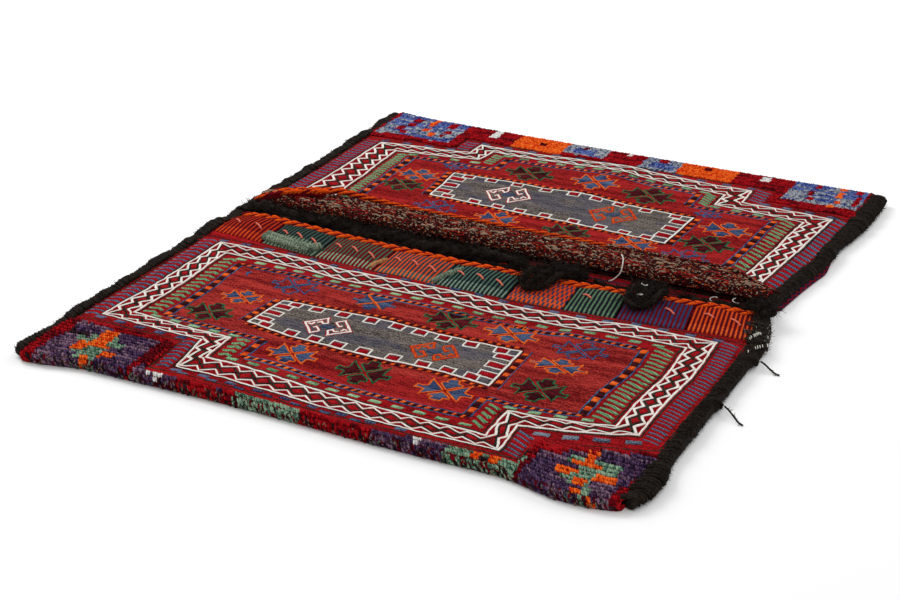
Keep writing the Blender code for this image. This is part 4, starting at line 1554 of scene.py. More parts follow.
for x, y, wide, deep, kind in STARS:
    for lobe, flips in ((LEFT_LOBE, ((1, 1), (-1, 1))), (TOP_LOBE, ((1, 1), (1, -1)))):
        for flip_x, flip_y in flips:
            tall = 0.92 if flip_y < 0 else 1.0
            points = [(x + flip_x * a * wide, y + flip_y * b * deep * tall) for a, b in lobe]
            if kind in FILLS:
                patch(stars, points, 0.5, kind=FILLS[kind], step=9.0)
            if kind != 3:
                star_yarn = ORANGE_STAR_YARN if kind == 1 else STAR_YARN
                yarn(stars, points, star_yarn, 0.95, closed=True, kind=kind, step=7.0)
    crossing = ((-28, 30, 28, -27), (-27, -25, 28, 28))
    for number, (start_x, start_y, end_x, end_y) in enumerate(crossing):
        colour = 1 if kind == 3 else (5 if number == 0 else (2 if kind == 2 else 5))
        line = [(x + start_x * wide, y + start_y * deep), (x + end_x * wide, y + end_y * deep)]
        yarn(stars, line, 4.6 if kind == 3 else 2.8, 1.3 if kind == 3 else 0.8, kind=colour)
yarn(stars, [(-348, -224), (-353, -231), (-349, -240)], 5.0, 0.9, kind=2)
star_finishes = [outline_green, outline_orange, outline_blue, star_dark, star_blue, guard_red]
stars.piece("field_stars", star_finishes, "woven_wool")

# The knotted pile at the bottom of each pouch: rows of thick wool knots that lean on the row below them.
# Blocks of purple and blue hold a stepped flower each, and a narrow band of changing colours joins them.
PILE_ROW = 0.0080
KNOT_WIDE = 0.0036
KNOT_RISE = 0.0044
KNOT_SIDES = 4
PILE_STARTS_AFTER = 9.0
# The near pile climbs this much nearer to the field, from one place across the bag to another, in metres
RAISED_PILE = 12.0
RAISED_FROM = 0.10
RAISED_REACH = 0.10
RAISED_TO = 0.345
PILE_ENDS = 0.47
PILE_SIDE_GAP = 0.003
CORNER_BLOCK_GAP = 0.012
FOLD_OUTER = FOLD_RADIUS + CLOTH_THICK
PILE_COLOURS = (
    ("pile_red", dye(112, 8, 18), dye(180, 26, 34)),
    ("pile_purple", dye(34, 22, 46), dye(100, 74, 108)),
    ("pile_mauve", dye(58, 38, 62), dye(142, 112, 132)),
    ("pile_orange", dye(206, 48, 8), dye(255, 118, 44)),
    ("pile_green", dye(52, 88, 74), dye(148, 176, 148)),
    ("pile_maroon", dye(66, 8, 18), dye(122, 20, 30)),
    ("pile_blue", dye(24, 36, 98), dye(104, 122, 184)),
    ("pile_grey", dye(66, 76, 106), dye(178, 182, 188)),
    ("pile_white", dye(206, 204, 200), dye(248, 247, 244)),
    ("pile_dark", dye(26, 18, 22), dye(62, 44, 46)),
    ("pile_cream", dye(110, 92, 76), dye(188, 166, 138)),
)
RED, PURPLE, MAUVE, ORANGE, GREEN, MAROON, BLUE, GREY, WHITE, DARK, CREAM = range(len(PILE_COLOURS))
# Blocks of one colour, later ones over earlier ones: colour, left, right, from the field, towards the fold
NEAR_BLOCKS = (
    (PURPLE, -486, -420, -520, -700),
    (PURPLE, -424, -328, -532, -700),
    (MAUVE, -490, -440, -572, -700),
    (DARK, -484, -446, -548, -562),
    (MAROON, -326, -307, -520, -604),
    (GREEN, -442, -428, -549, -568),
    (GREEN, -461, -370, -562, -580),
    (ORANGE, -429, -402, -532, -587),
    (GREEN, -403, -392, -548, -562),
    (ORANGE, -447, -388, -578, -590),
    (GREEN, -428, -388, -588, -626),
    (ORANGE, -449, -427, -588, -608),
    (ORANGE, -391, -368, -592, -614),
    (GREEN, -440, -414, -606, -616),
    (ORANGE, -415, -400, -622, -643),
    (GREEN, -402, -388, -618, -640),
    (ORANGE, -424, -396, -645, -664),
    (MAUVE, -317, -238, -600, -632),
    (PURPLE, -312, -238, -626, -700),
    (RED, -238, -134, -600, -700),
    (PURPLE, -168, -157, -616, -626),
    (GREEN, -134, -17, -606, -640),
    (RED, -17, 105, -600, -700),
    (PURPLE, 105, 221, -600, -700),
    (GREEN, 221, 336, -600, -700),
    (ORANGE, 274, 290, -612, -626),
    (ORANGE, 262, 278, -622, -636),
    (ORANGE, 288, 306, -622, -638),
    (DARK, 276, 290, -628, -640),
    (ORANGE, 286, 298, -646, -656),
    (MAROON, 336, 352, -600, -700),
    (PURPLE, 345, 386, -572, -700),
    (PURPLE, 384, 426, -556, -700),
    (PURPLE, 424, 466, -541, -590),
    (PURPLE, 464, 504, -526, -590),
    (PURPLE, 396, 495, -588, -625),
    (PURPLE, 396, 484, -622, -700),
    (GREEN, 390, 410, -566, -588),
    (GREEN, 428, 470, -570, -604),
    (ORANGE, 410, 428, -552, -596),
    (ORANGE, 398, 444, -582, -597),
    (GREEN, 412, 444, -598, -648),
    (ORANGE, 382, 416, -600, -620),
    (ORANGE, 442, 476, -600, -624),
    (GREEN, 396, 414, -620, -634),
    (ORANGE, 420, 440, -630, -646),
    (ORANGE, 424, 444, -652, -664),
    (GREEN, 440, 452, -650, -700),
    (ORANGE, 451, 466, -664, -700),
)
FAR_BLOCKS = (
    (GREY, -496, -334, 501, 566),
    (BLUE, -496, -334, 558, 700),
    (BLUE, -430, -384, 540, 562),
    (RED, -455, -436, 582, 607),
    (RED, -455, -436, 553, 574),
    (RED, -374, -357, 582, 611),
    (RED, -367, -353, 551, 570),
    (RED, -465, -451, 532, 549),
    (RED, -450, -437, 513, 527),
    (RED, -370, -357, 525, 540),
    (ORANGE, -415, -403, 578, 620),
    (ORANGE, -411, -399, 545, 565),
    (ORANGE, -392, -380, 520, 542),
    (WHITE, -276, -259, 570, 700),
    (ORANGE, -217, -111, 550, 700),
    (MAROON, -166, -154, 580, 596),
    (GREY, -111, -24, 560, 700),
    (BLUE, -90, -48, 572, 600),
    (MAROON, -80, -68, 592, 608),
    (WHITE, 12, 20, 606, 630),
    (GREY, 53, 132, 556, 700),
    (BLUE, 70, 112, 566, 596),
    (RED, 82, 99, 592, 616),
    (ORANGE, 128, 240, 556, 700),
    (MAROON, 174, 190, 592, 612),
    (WHITE, 290, 307, 586, 612),
    (GREY, 353, 496, 519, 600),
    (BLUE, 353, 496, 566, 700),
    (BLUE, 392, 448, 546, 566),
    (RED, 395, 407, 600, 622),
    (RED, 390, 401, 561, 584),
    (RED, 397, 409, 534, 553),
    (RED, 472, 484, 596, 622),
    (RED, 480, 490, 540, 590),
    (ORANGE, 438, 455, 606, 636),
    (ORANGE, 442, 455, 570, 597),
    (ORANGE, 447, 457, 536, 556),
    (ORANGE, 440, 453, 513, 528),
)


# White tufts in the near pile: the middle and the reach of each
WHITE_TUFTS = (((-274, -622), 9), ((-288, -618), 6), ((174, -628), 8))


def pile_place(side, x, run, rise):
    """A point of the pile: run goes over the face to the fold and round it, and rise lifts off the cloth."""
    y = side * run
    if run <= FOLD_Y:
        return lie(x, y, CEILING + CLOTH_THICK + face_slack(x, y) + puckers(x, y) + rise)
    turn = (run - FOLD_Y) / FOLD_OUTER
    reach = FOLD_OUTER + rise
    y = side * (FOLD_Y + reach * math.sin(turn))
    return lie(x, y, FOLD_OUTER + reach * math.cos(turn))


def pile_colour(side, place, turn, chance):
    """The colour of the knot at a place; worn knots round the fold are dark or maroon, where the warps show.
    """
    x = place.x * 1000 + 3.5 * noise.noise(place * 60)
    y = place.y * 1000 + 3.0 * noise.noise(place * 45 + Vector((4, 4, 4)))
    if turn > 0.7 and chance.random() < 0.2 * turn:
        return chance.choice((DARK, DARK, MAROON))
    colour = RED
    for block, left, right, start, end in NEAR_BLOCKS if side < 0 else FAR_BLOCKS:
        if left < x < right and min(start, end) < y < max(start, end):
            colour = block
    if side < 0 and any(math.dist((x, y), middle) < reach for middle, reach in WHITE_TUFTS):
        colour = WHITE
    streak = noise.noise(Vector((0.02 * x, 0.13 * y, 6.6))) + chance.uniform(-0.12, 0.12)
    if colour == RED and streak > 0.26:
        colour = MAROON
    if colour in (MAUVE, PURPLE) and streak > 0.16:
        colour = PURPLE if colour == MAUVE else MAUVE
    if colour in (BLUE, GREY) and streak > 0.24:
        colour = GREY if colour == BLUE else BLUE
    return colour


def frame_floor(band, x):
    """Where the pile begins at x: beyond the guard's edge line at the bottom of a pouch, in millimetres."""
    corners = band["edge"]
    if band["closed"]:
        line = (corners[7], corners[6], corners[5], corners[4], corners[3], corners[2])
    else:
        line = corners[1:7]
    if x <= line[0][0]:
        return abs(line[0][1])
    for start, end in zip(line, line[1:]):
        if x <= end[0]:
            return abs(mixed(start[1], end[1], (x - start[0]) / max(end[0] - start[0], 1)))
    return abs(line[-1][1])


def knot(work, side, x, run, wide, long, rise, lean, kind):
    """One knot: a stubby closed tuft, thickest in its middle, that leans along its row."""
    rings = ((-0.36, 0.75, 0.30), (0.05, 1.0, 0.52), (0.42, 0.72, 0.42))
    points = []
    flat = []
    bath = 0.4 * noise.cell(Vector((900 * x, 400 * run, 0.5)))
    for along, size, up in rings:
        for corner in range(KNOT_SIDES):
            angle = 2 * math.pi * (corner + 0.25) / KNOT_SIDES
            out = x + wide * 0.56 * size * math.cos(angle) + lean * along * long
            lift = rise * (up + 0.5 * size * math.sin(angle))
            points.append(pile_place(side, out, run + along * long, lift))
            flat.append((out + bath, run + along * long + bath))
    for along, up in ((-0.56, 0.1), (0.62, 0.2)):
        points.append(pile_place(side, x + lean * along * long, run + along * long, rise * up))
        flat.append((x + bath, run + along * long + bath))
    faces = []
    for ring in range(2):
        start = ring * KNOT_SIDES
        for corner in range(KNOT_SIDES):
            beside = (corner + 1) % KNOT_SIDES
            above_ring = start + KNOT_SIDES
            faces.append((start + corner, start + beside, above_ring + beside, above_ring + corner))
    last = 2 * KNOT_SIDES
    tip = 3 * KNOT_SIDES
    faces += [((corner + 1) % KNOT_SIDES, corner, tip) for corner in range(KNOT_SIDES)]
    faces += [(last + corner, last + (corner + 1) % KNOT_SIDES, tip + 1) for corner in range(KNOT_SIDES)]
    if side > 0:
        faces = [tuple(reversed(face)) for face in faces]
    work.add(points, faces, flat, kind)


pile_finishes = [
    wool_finish(name, dark, light, 0.0016, 0.0020, 1.4, 0.35, 0.0005) for name, dark, light in PILE_COLOURS
]
for side, band, name in ((-1, NEAR_FRAME, "near_pile"), (1, FAR_FRAME, "far_pile")):
    chance = random.Random(name)
    pile = Work()
    run = FOLD_Y + FOLD_OUTER * 2.75
    row = 0
    while run > PILE_ENDS:
        x = -CLOTH_HALF + PILE_SIDE_GAP + 0.5 * KNOT_WIDE * (row % 2)
        while x < CLOTH_HALF - PILE_SIDE_GAP:
            start = frame_floor(band, x * 1000) + PILE_STARTS_AFTER
            if side < 0 and x < RAISED_TO:
                start -= RAISED_PILE * eased((x - RAISED_FROM) / RAISED_REACH)
            beside_block = abs(x) > CLOTH_HALF - CORNER_BLOCK_GAP
            if run * 1000 > start and not (beside_block and run * 1000 < start + 4):
                turn = max(0.0, (run - FOLD_Y) / FOLD_OUTER)
                place = pile_place(side, x, run, 0)
                colour = pile_colour(side, place, turn, chance)
                along = run + chance.gauss(0, 0.0006)
                rise = KNOT_RISE * chance.uniform(0.82, 1.18) * (1 - 0.2 * min(turn, 1.5))
                wide = KNOT_WIDE * chance.uniform(1.15, 1.6)
                long = PILE_ROW * chance.uniform(0.86, 1.12)
                knot(pile, side, x, along, wide, long, rise, chance.gauss(0.5, 0.14), colour)
            x += KNOT_WIDE
        run -= PILE_ROW
        row += 1
    pile.piece(name, pile_finishes, "woven_wool")

# Frayed ends: round the bottom folds the knots are worn down, and short ends of the warps and of old knots
# stick out. They are wool of the pile's own colours, most of them dark or cream.
FRONT_ENDS = 460
FRONT_KINDS = (CREAM, CREAM, DARK, DARK, DARK, GREEN, MAROON, MAROON)
front = Work()
chance = random.Random("front")
for side in (-1, 1):
    for _ in range(FRONT_ENDS):
        x = chance.uniform(-0.47, 0.49)
        run = FOLD_Y + FOLD_OUTER * chance.triangular(0.5, 2.4, 1.5)
        slant = chance.choice((1, 1, -1)) * chance.uniform(0.0008, 0.0022)
        line = []
        for stop in (-1, 0, 1):
            lift = 0.0030 + 0.0010 * math.sin(1.6 * (stop + 1))
            line.append(pile_place(side, x + slant * stop, run + 0.0016 * stop, lift))
        tube(front, line, chance.uniform(0.0005, 0.0008), sides=4, kind=chance.choice(FRONT_KINDS))
front.piece("frayed_fold_ends", pile_finishes, "woven_wool")

# The near mouth's tabs: nine flaps woven with slits between them, each wrapped in ribs of two colours.
# Each tab is a flap of wool cloth that hangs from the mouth and is free along both of its slits.
TAB_BULGE = 0.006
RIB_PITCH = 0.008
RIB_RISE = 0.0013
TAB_COLUMNS_TO_RIB = 5
TAB_ROWS = 14
# How far each slit really lies from its even place
SLIT_MOVES = (-0.009, -0.012, -0.003, -0.010, -0.002, 0.0, 0.0, 0.0)
# Each tab: rib, ground, both again as lighter copies for its lower edge, which is painted light as if turned
# to the lamps, where that edge begins, the rib's share, the brick shift
TABS = (
    (dye(204, 58, 18), dye(92, 12, 24), dye(232, 84, 30), dye(128, 22, 24), 0.060, 0.38, 0.0),
    (dye(62, 84, 76), dye(28, 34, 34), dye(120, 142, 116), dye(60, 74, 66), 0.044, 0.55, 0.0),
    (dye(60, 106, 80), dye(108, 12, 28), dye(134, 176, 140), dye(122, 16, 30), 0.062, 0.45, 0.0),
    (dye(222, 76, 28), dye(40, 66, 74), dye(238, 100, 44), dye(58, 92, 94), 0.064, 0.50, 0.0),
    (dye(78, 108, 92), dye(24, 28, 38), dye(122, 148, 126), dye(36, 44, 50), 0.060, 0.50, 0.0),
    (dye(222, 70, 24), dye(46, 58, 84), dye(232, 88, 36), dye(54, 68, 94), 0.060, 0.64, 1.0),
    (dye(92, 122, 92), dye(26, 30, 42), dye(104, 134, 102), dye(30, 36, 48), 0.070, 0.52, 0.0),
    (dye(44, 62, 102), dye(104, 12, 26), dye(52, 74, 112), dye(110, 14, 28), 0.066, 0.50, 0.0),
    (dye(222, 76, 26), dye(92, 14, 22), dye(238, 98, 40), dye(110, 20, 28), 0.062, 0.48, 0.0),
)


def rib_group():
    """Wrapped ribs: stripes of two wools side by side, each with the fine slanted lines of its wrapping
    painted in as shade.
    """
    group, given, result = new_group(
        "wrapped_ribs",
        [
            ("Place", "NodeSocketVector", None),
            ("Rib", "NodeSocketColor", (1, 1, 1, 1)),
            ("Ground", "NodeSocketColor", (0, 0, 0, 1)),
            ("Lit Low Rib", "NodeSocketColor", (1, 1, 1, 1)),
            ("Lit Low Ground", "NodeSocketColor", (0, 0, 0, 1)),
            ("Lit From", "NodeSocketFloat", 0.06),
            ("Rib Share", "NodeSocketFloat", 0.5),
            ("Brick", "NodeSocketFloat", 0.0),
        ],
        [("Color", "NodeSocketColor"), ("Height", "NodeSocketFloat")],
    )
    place = given.outputs["Place"]
    parts = group.nodes.new("ShaderNodeSeparateXYZ")
    group.links.new(place, parts.inputs[0])
    course = number_node(group, "FLOOR", number_node(group, "DIVIDE", parts.outputs[1], 0.0125))
    shift = number_node(group, "MULTIPLY", course, 0.5)
    shift = number_node(group, "MULTIPLY", shift, given.outputs["Brick"])
    count = number_node(group, "ADD", number_node(group, "DIVIDE", parts.outputs[0], RIB_PITCH), shift)
    inside = number_node(group, "SUBTRACT", given.outputs["Rib Share"], middle_distance(group, count))
    ragged = spread_from(group, noise_node(group, place, (300, 500, 1)), 0.5, 0.5)
    mask = clamped(group, number_node(group, "MULTIPLY", number_node(group, "ADD", inside, ragged), 7.0))
    # Painted light: towards the tab's lower edge the rib and the ground turn to lighter copies of their
    # wools, as if that part faced the lamps.
    low = clamped(group, spread_from(group, parts.outputs[1], given.outputs["Lit From"], 500.0))
    rib = colour_node(group, "MIX", low, given.outputs["Rib"], given.outputs["Lit Low Rib"])
    ground = colour_node(group, "MIX", low, given.outputs["Ground"], given.outputs["Lit Low Ground"])
    shade = colour_node(group, "MIX", mask, ground, rib)
    # Painted shade: the slanted wraps and a grain darken the colour towards near black between the wraps.
    slanted = number_node(group, "DIVIDE", parts.outputs[0], 0.009)
    slanted = number_node(group, "ADD", number_node(group, "DIVIDE", parts.outputs[1], 0.0044), slanted)
    wrap = arch_over(group, slanted, 2.0)
    grain = noise_node(group, place, (260, 260, 1), 3.0)
    lit = number_node(group, "ADD", number_node(group, "MULTIPLY", wrap, 0.62), grain)
    shadow = number_node(group, "SUBTRACT", 1.25, lit)
    shadow = clamped(group, number_node(group, "MULTIPLY", shadow, 0.85))
    shade = colour_node(group, "MIX", shadow, shade, (0.006, 0.004, 0.005, 1))
    group.links.new(shade, result.inputs["Color"])
    height = number_node(group, "ADD", number_node(group, "MULTIPLY", mask, 0.6), wrap)
    group.links.new(height, result.inputs["Height"])
    return group


WRAPPED_RIBS = rib_group()


def ribbed_finish(name, rib, ground, lit_low_rib, lit_low_ground, lit_from, rib_share, brick):
    """Two-coloured ribs for one tab, with lighter copies of its two wools painted as light on its lower edge.
    """
    finish, tree = new_wool(name)
    ribs = tree.nodes.new("ShaderNodeGroup")
    ribs.node_tree = WRAPPED_RIBS
    colours = (("Rib", rib), ("Ground", ground), ("Lit Low Rib", lit_low_rib), ("Lit Low Ground", lit_low_ground))
    for socket, colour in colours:
        ribs.inputs[socket].default_value = (*colour, 1)
    for socket, value in (("Lit From", lit_from), ("Rib Share", rib_share), ("Brick", brick)):
        ribs.inputs[socket].default_value = value
    tree.links.new(cloth_place(tree), ribs.inputs["Place"])
    return dressed_wool(finish, ribs.outputs["Color"], ribs.outputs["Height"], 0.0005)


def tab_edges():
    """The left and the right edge of each tab."""
    room = 2 * CLOTH_HALF - SLIT_WIDTH * (len(TAB_SHARES) - 1)
    left = -CLOTH_HALF
    edges = []
    for share in TAB_SHARES:
        width = room * share / sum(TAB_SHARES)
        edges.append((left, left + width))
        left += width + SLIT_WIDTH
    moves = (0.0, *SLIT_MOVES, 0.0)
    return [(left + before, right + after) for (left, right), before, after in zip(edges, moves, moves[1:])]


def tab_height(x, share, part):
    """The height of a tab's face: part goes across the tab, share from the mouth to the field."""
    bulge = TAB_BULGE * math.sin(math.pi * part) * math.sin(math.pi * (0.15 + 0.85 * share))
    return CEILING + CLOTH_THICK + mouth_rise(x) * (1 - 0.6 * share) + bulge


def ribbed_tab(name, left, right, finish):
    """One tab as a closed slab whose face swells in ribs."""
    ribs = round((right - left) / RIB_PITCH)
    columns = ribs * TAB_COLUMNS_TO_RIB
    tab = Work()
    for above_cloth in (True, False):
        for row in range(TAB_ROWS + 1):
            share = row / TAB_ROWS
            for column in range(columns + 1):
                part = column / columns
                x = mixed(left, right, part)
                y = near_mouth_y(x) - TAB_DEPTH * share
                z = tab_height(x, share, part)
                swell = 1 - abs(2 * (part * ribs % 1) - 1) ** 2.2
                if above_cloth:
                    z += RIB_RISE * swell + 0.0006 * noise.noise(Vector((90 * x, 60 * y, 1.7)))
                else:
                    z -= CLOTH_THICK
                sway = 0.0014 * noise.noise(Vector((8 * x, 30 * y, 3.1)))
                tab.points.append(lie(x + sway * math.sin(math.pi * part), y, z))
                tab.flat.append((part * ribs * RIB_PITCH, TAB_DEPTH * share))
    tab.faces = slab_faces(columns, TAB_ROWS)
    tab.kinds = [0] * len(tab.faces)
    return tab.piece(name, [finish], "woven_wool")


for number, ((left, right), wools) in enumerate(zip(tab_edges(), TABS), 1):
    ribs_of_tab = ribbed_finish(f"tab_{number}_ribs", *wools)
    ribbed_tab(f"tab_{number}", left, right, ribs_of_tab)

# Curled edges: use has rolled up tab 2 along its lower half, and tabs 4 and 5 curl in at their left edges.
# They are rolls of the tabs' own wool, green or tan, that lie on the tabs and aren't sewn down.
# Each curl: its wool, 0 green or 1 tan, its way from end to end, and its radius
CURLS = (
    (0, ((-0.403, -0.078), (-0.38, -0.084), (-0.35, -0.090), (-0.32, -0.095), (-0.302, -0.098)), 0.0080),
    (0, ((-0.404, -0.090), (-0.38, -0.096), (-0.35, -0.102), (-0.32, -0.107), (-0.300, -0.111)), 0.0078),
    (0, ((-0.322, -0.106), (-0.308, -0.101), (-0.298, -0.094), (-0.292, -0.086)), 0.0090),
    (1, ((-0.163, -0.080), (-0.171, -0.093), (-0.176, -0.106), (-0.174, -0.120)), 0.0046),
    (0, ((-0.026, -0.062), (-0.036, -0.076), (-0.044, -0.092), (-0.049, -0.110), (-0.053, -0.126)), 0.0060),
)
curl_green = wool_finish("curl_green", dye(74, 90, 78), dye(158, 172, 146), 0.0050, 0.0040, 0.5, 0.8, 0.0014)
curl_tan = wool_finish("curl_tan", dye(150, 92, 56), dye(208, 150, 104), 0.0034, 0.0030, 0.5, 0.5, 0.0008)
curls = Work()
for kind, route, radius in CURLS:
    line = []
    for x, y in route:
        share = (near_mouth_y(x) - y) / TAB_DEPTH
        line.append(lie(x, y, CEILING + CLOTH_THICK + 0.4 * mouth_rise(x) * (1.2 - share) + radius * 0.75))
    way = smooth_line(line, 0.003)
    tube(curls, way, radius, sides=12, plies=9, lay=4.0, ply_depth=0.10, taper=0.1, kind=kind)
curls.piece("curled_edges", [curl_green, curl_tan], "woven_wool")

# The basting stitches: pink thread sewn through the tabs by hand, one to three stitches to a tab.
# Each is a slack two-ply thread that slants across two or three ribs.
STITCHES = (2, 3, 3, 3, 3, 1, 1, 2, 2)
stitch_pink = hair_finish("stitch_pink", dye(206, 100, 84), dye(248, 164, 142), 0.9)
stitch_work = Work()
chance = random.Random("basting")
for (left, right), count in zip(tab_edges(), STITCHES):
    for turn in range(count):
        part = (turn + 0.62) / (count + 0.3) if count > 1 else 0.3
        line = []
        for share in (0, 0.25, 0.5, 0.75, 1):
            x = mixed(left, right, part) + mixed(-0.009, 0.009, share)
            down = 0.34 + 0.12 * turn / max(count, 1) + 0.15 * share
            y = near_mouth_y(x) - TAB_DEPTH * down
            height = tab_height(x, down, (x - left) / (right - left)) + 0.0012
            height += 0.0022 * math.sin(math.pi * share)
            line.append(lie(x, y, height))
        tube(stitch_work, smooth_line(line, 0.002), 0.0019, sides=6, plies=2, lay=0.007, ply_depth=0.25)
stitch_work.piece("basting_stitches", [stitch_pink], "mending_thread")

# The chained cords along both mouths: orange and wine-red wool, plaited into a round chevron cord.
# The near one rims the tabs, and the far one ends the turned-out flap and lies on the far pouch's face.
EDGE_CORD_RADIUS = 0.0075
CORD_LINK = 0.0230
FLAT_CORD_SHARE = 0.56
FLAT_CORD_FROM = -0.40
FLAT_CORD_REACH = 0.16
# Past this place across the bag the far cord's orange has worn away; the near cord's hasn't anywhere
FAR_WORN_FROM = 0.16
NEVER_WORN = 9.0
GATHER_RADIUS = 0.0085
GATHER_ROUTE = (
    (-0.508, 0.060, 0.026), (-0.480, 0.068, 0.034), (-0.450, 0.080, 0.040), (-0.420, 0.092, 0.042),
    (-0.390, 0.108, 0.040),
)
cord_orange = wool_finish(
    "cord_orange", dye(200, 50, 10), dye(255, 106, 34), 0.0030, 0.0026, 0.5, 0.35, 0.0008
)
cord_wine = wool_finish("cord_wine", dye(78, 10, 20), dye(130, 24, 34), 0.0030, 0.0026, 0.5, 0.4, 0.0008)
cord_worn = wool_finish("cord_worn", dye(38, 20, 20), dye(92, 44, 38), 0.0030, 0.0026, 0.5, 0.5, 0.0008)


def near_cord_centre(x):
    slope = abs(near_mouth_y(x + 0.001) - near_mouth_y(x - 0.001)) / 0.002
    clear = (EDGE_CORD_RADIUS + SEAM_GAP) * math.sqrt(1 + min(slope, 1.0) ** 2)
    return near_mouth_y(x) + clear, CEILING + CLOTH_THICK / 2 + mouth_rise(x)


def far_cord_size(x):
    """The far cord is plump at its left end and drawn flat along the rest."""
    return mixed(1.0, FLAT_CORD_SHARE, eased((x - FLAT_CORD_FROM) / FLAT_CORD_REACH))


def far_cord_centre(x):
    first_tab = tab_edges()[0]
    slope = (FLAP_DEPTH - FLAP_CORNER) / (first_tab[1] - first_tab[0])
    radius = EDGE_CORD_RADIUS * far_cord_size(x)
    clear = (radius + SEAM_GAP) * math.sqrt(1 + slope * slope)
    return ROLL_Y + flap_reach(x) + clear, CEILING + CLOTH_THICK + SEAM_GAP + radius


def even_size(x):
    return 1.0


def chained_cord(name, centre, node, worn_from, size_at=even_size):
    """A plaited cord whose lobes run back from its crest; past worn_from the orange has worn away."""
    reach = CLOTH_HALF - EDGE_CORD_RADIUS / 2
    chance = random.Random(name)
    cord = Work()

    def place(x, angle, size):
        y, z = centre(max(-CLOTH_HALF, min(CLOTH_HALF, x)))
        return lie(x, y + size * math.sin(angle), z + size * math.cos(angle))

    core = [place(mixed(-reach, reach, stop / 160), 0, 0) for stop in range(161)]
    tube(cord, core, EDGE_CORD_RADIUS * 0.74 * size_at(0), sides=10, kind=1 if worn_from > reach else 2)
    links = round(2 * reach / CORD_LINK * 2)
    for link in range(links):
        for side in (-1, 1):
            x = mixed(-reach, reach, (link + 0.5 + 0.25 * side) / links)
            kind = 0 if link % 2 else 1
            if x > worn_from and chance.random() < 0.94:
                kind = 2
            line = []
            for stop in range(5):
                share = stop / 4
                angle = side * mixed(-0.1, 1.7, share)
                size = EDGE_CORD_RADIUS * size_at(x) * (0.66 + 0.22 * math.sin(math.pi * share))
                line.append(place(x + CORD_LINK * (0.7 - 1.5 * share), angle, size))
            thick = EDGE_CORD_RADIUS * size_at(x) * chance.uniform(0.38, 0.52) * (1.1 if kind == 0 else 0.85)
            tube(cord, smooth_line(line, 0.006), thick, sides=7, taper=0.3, kind=kind)
    piece = cord.piece(name, [cord_orange, cord_wine, cord_worn], "orange_cord")
    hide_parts(node)


def gathered_end():
    """The left end of the far mouth, where the cord is doubled and sewn down to the corner in thick lobes."""
    gather = Work()
    chance = random.Random("gather")
    route = smooth_line(GATHER_ROUTE, 0.004)
    tube(gather, route, GATHER_RADIUS * 0.8, sides=10, kind=1)
    for number, centre in enumerate(route[1:-1], 1):
        if number % 2:
            continue
        for side in (-1, 1):
            line = []
            for stop in range(5):
                share = stop / 4
                angle = side * mixed(-0.2, 1.8, share)
                size = GATHER_RADIUS * (0.75 + 0.2 * math.sin(math.pi * share))
                turned = Vector((CORD_LINK * (0.5 - share), size * math.sin(angle), size * math.cos(angle)))
                line.append(centre + turned)
            kind = 1 if chance.random() < 0.3 else 0
            thick = GATHER_RADIUS * chance.uniform(0.28, 0.40)
            tube(gather, smooth_line(line, 0.004), thick, sides=7, taper=0.3, kind=kind)
    gather.piece("gathered_cord_end", [cord_orange, cord_wine], "orange_cord")


gathered_end()
chained_cord("near_chained_cord", near_cord_centre, "near_edge_cord", NEVER_WORN)
chained_cord("far_chained_cord", far_cord_centre, "far_edge_cord", FAR_WORN_FROM, far_cord_size)

# The roll: the far mouth turned out, so that its reverse shows the cut and floating ends of every colour.
# Thousands of short ends stand in it; longer cream ones and slack wine-red loops hang along its crest.
ROLL_ENDS = 4200
LONG_ENDS = 110
SLACK_LOOPS = 22
WORN_CORD_ENDS = 900
CREST_SHARE = 0.42
end_cream = wool_finish("end_cream", dye(144, 118, 96), dye(220, 192, 166), 0.002, 0.002)
end_red = wool_finish("end_red", dye(134, 22, 26), dye(198, 54, 48), 0.002, 0.002)
end_dark = wool_finish("end_dark", dye(26, 18, 18), dye(62, 42, 40), 0.002, 0.002)
end_orange = wool_finish("end_orange", dye(206, 70, 24), dye(244, 122, 60), 0.002, 0.002)
end_wine = wool_finish("end_wine", dye(70, 14, 20), dye(112, 30, 34), 0.002, 0.002)
END_KINDS = (0, 0, 0, 1, 1, 2, 2, 2, 2, 2, 2, 2, 4, 4, 4, 3)


def roll_place(x, share):
    """A point of the roll's outside and the way out from it: share runs over the crest to its edge."""
    if share < CREST_SHARE:
        turn = math.pi * mixed(0.32, 1.0, share / CREST_SHARE)
        height = CEILING + ROLL_RADIUS * (1 - math.cos(turn))
        inner = Vector((x, ROLL_Y - ROLL_RADIUS * math.sin(turn), height))
        return inner, Vector((0, -math.sin(turn), -math.cos(turn)))
    part = (share - CREST_SHARE) / (1 - CREST_SHARE)
    return Vector(strip_point(x, "flap", part * 0.97)), Vector((0, 0.35 * part, 1)).normalized()


roll_ends = Work()
chance = random.Random("roll")
for number in range(ROLL_ENDS + LONG_ENDS):
    long_end = number >= ROLL_ENDS
    x = chance.uniform(-CLOTH_HALF + 0.006, CLOTH_HALF - 0.006)
    inner, out = roll_place(x, chance.uniform(0.0, 1.0) if not long_end else chance.uniform(0.3, 0.8))
    slant = 1.0 if chance.random() < 0.7 else -0.6
    way = Vector((slant, chance.uniform(-0.5, 0.5), 0))
    way = (way - out * way.dot(out)).normalized()
    size = chance.uniform(0.0026, 0.0056) if not long_end else chance.uniform(0.010, 0.018)
    lift = chance.uniform(0.0, 0.0010)
    line = []
    for stop in (0.0, 0.5, 1.0):
        arch = math.sin(math.pi * stop) * size * 0.14 + lift
        line.append(lie(*(inner + way * size * (stop - 0.5) + out * arch)))
    kind = END_KINDS[chance.randrange(len(END_KINDS))] if not long_end else 0
    thick = chance.uniform(0.0012, 0.0016) if long_end else chance.uniform(0.0006, 0.0010)
    tube(roll_ends, line, thick, sides=4, kind=kind)
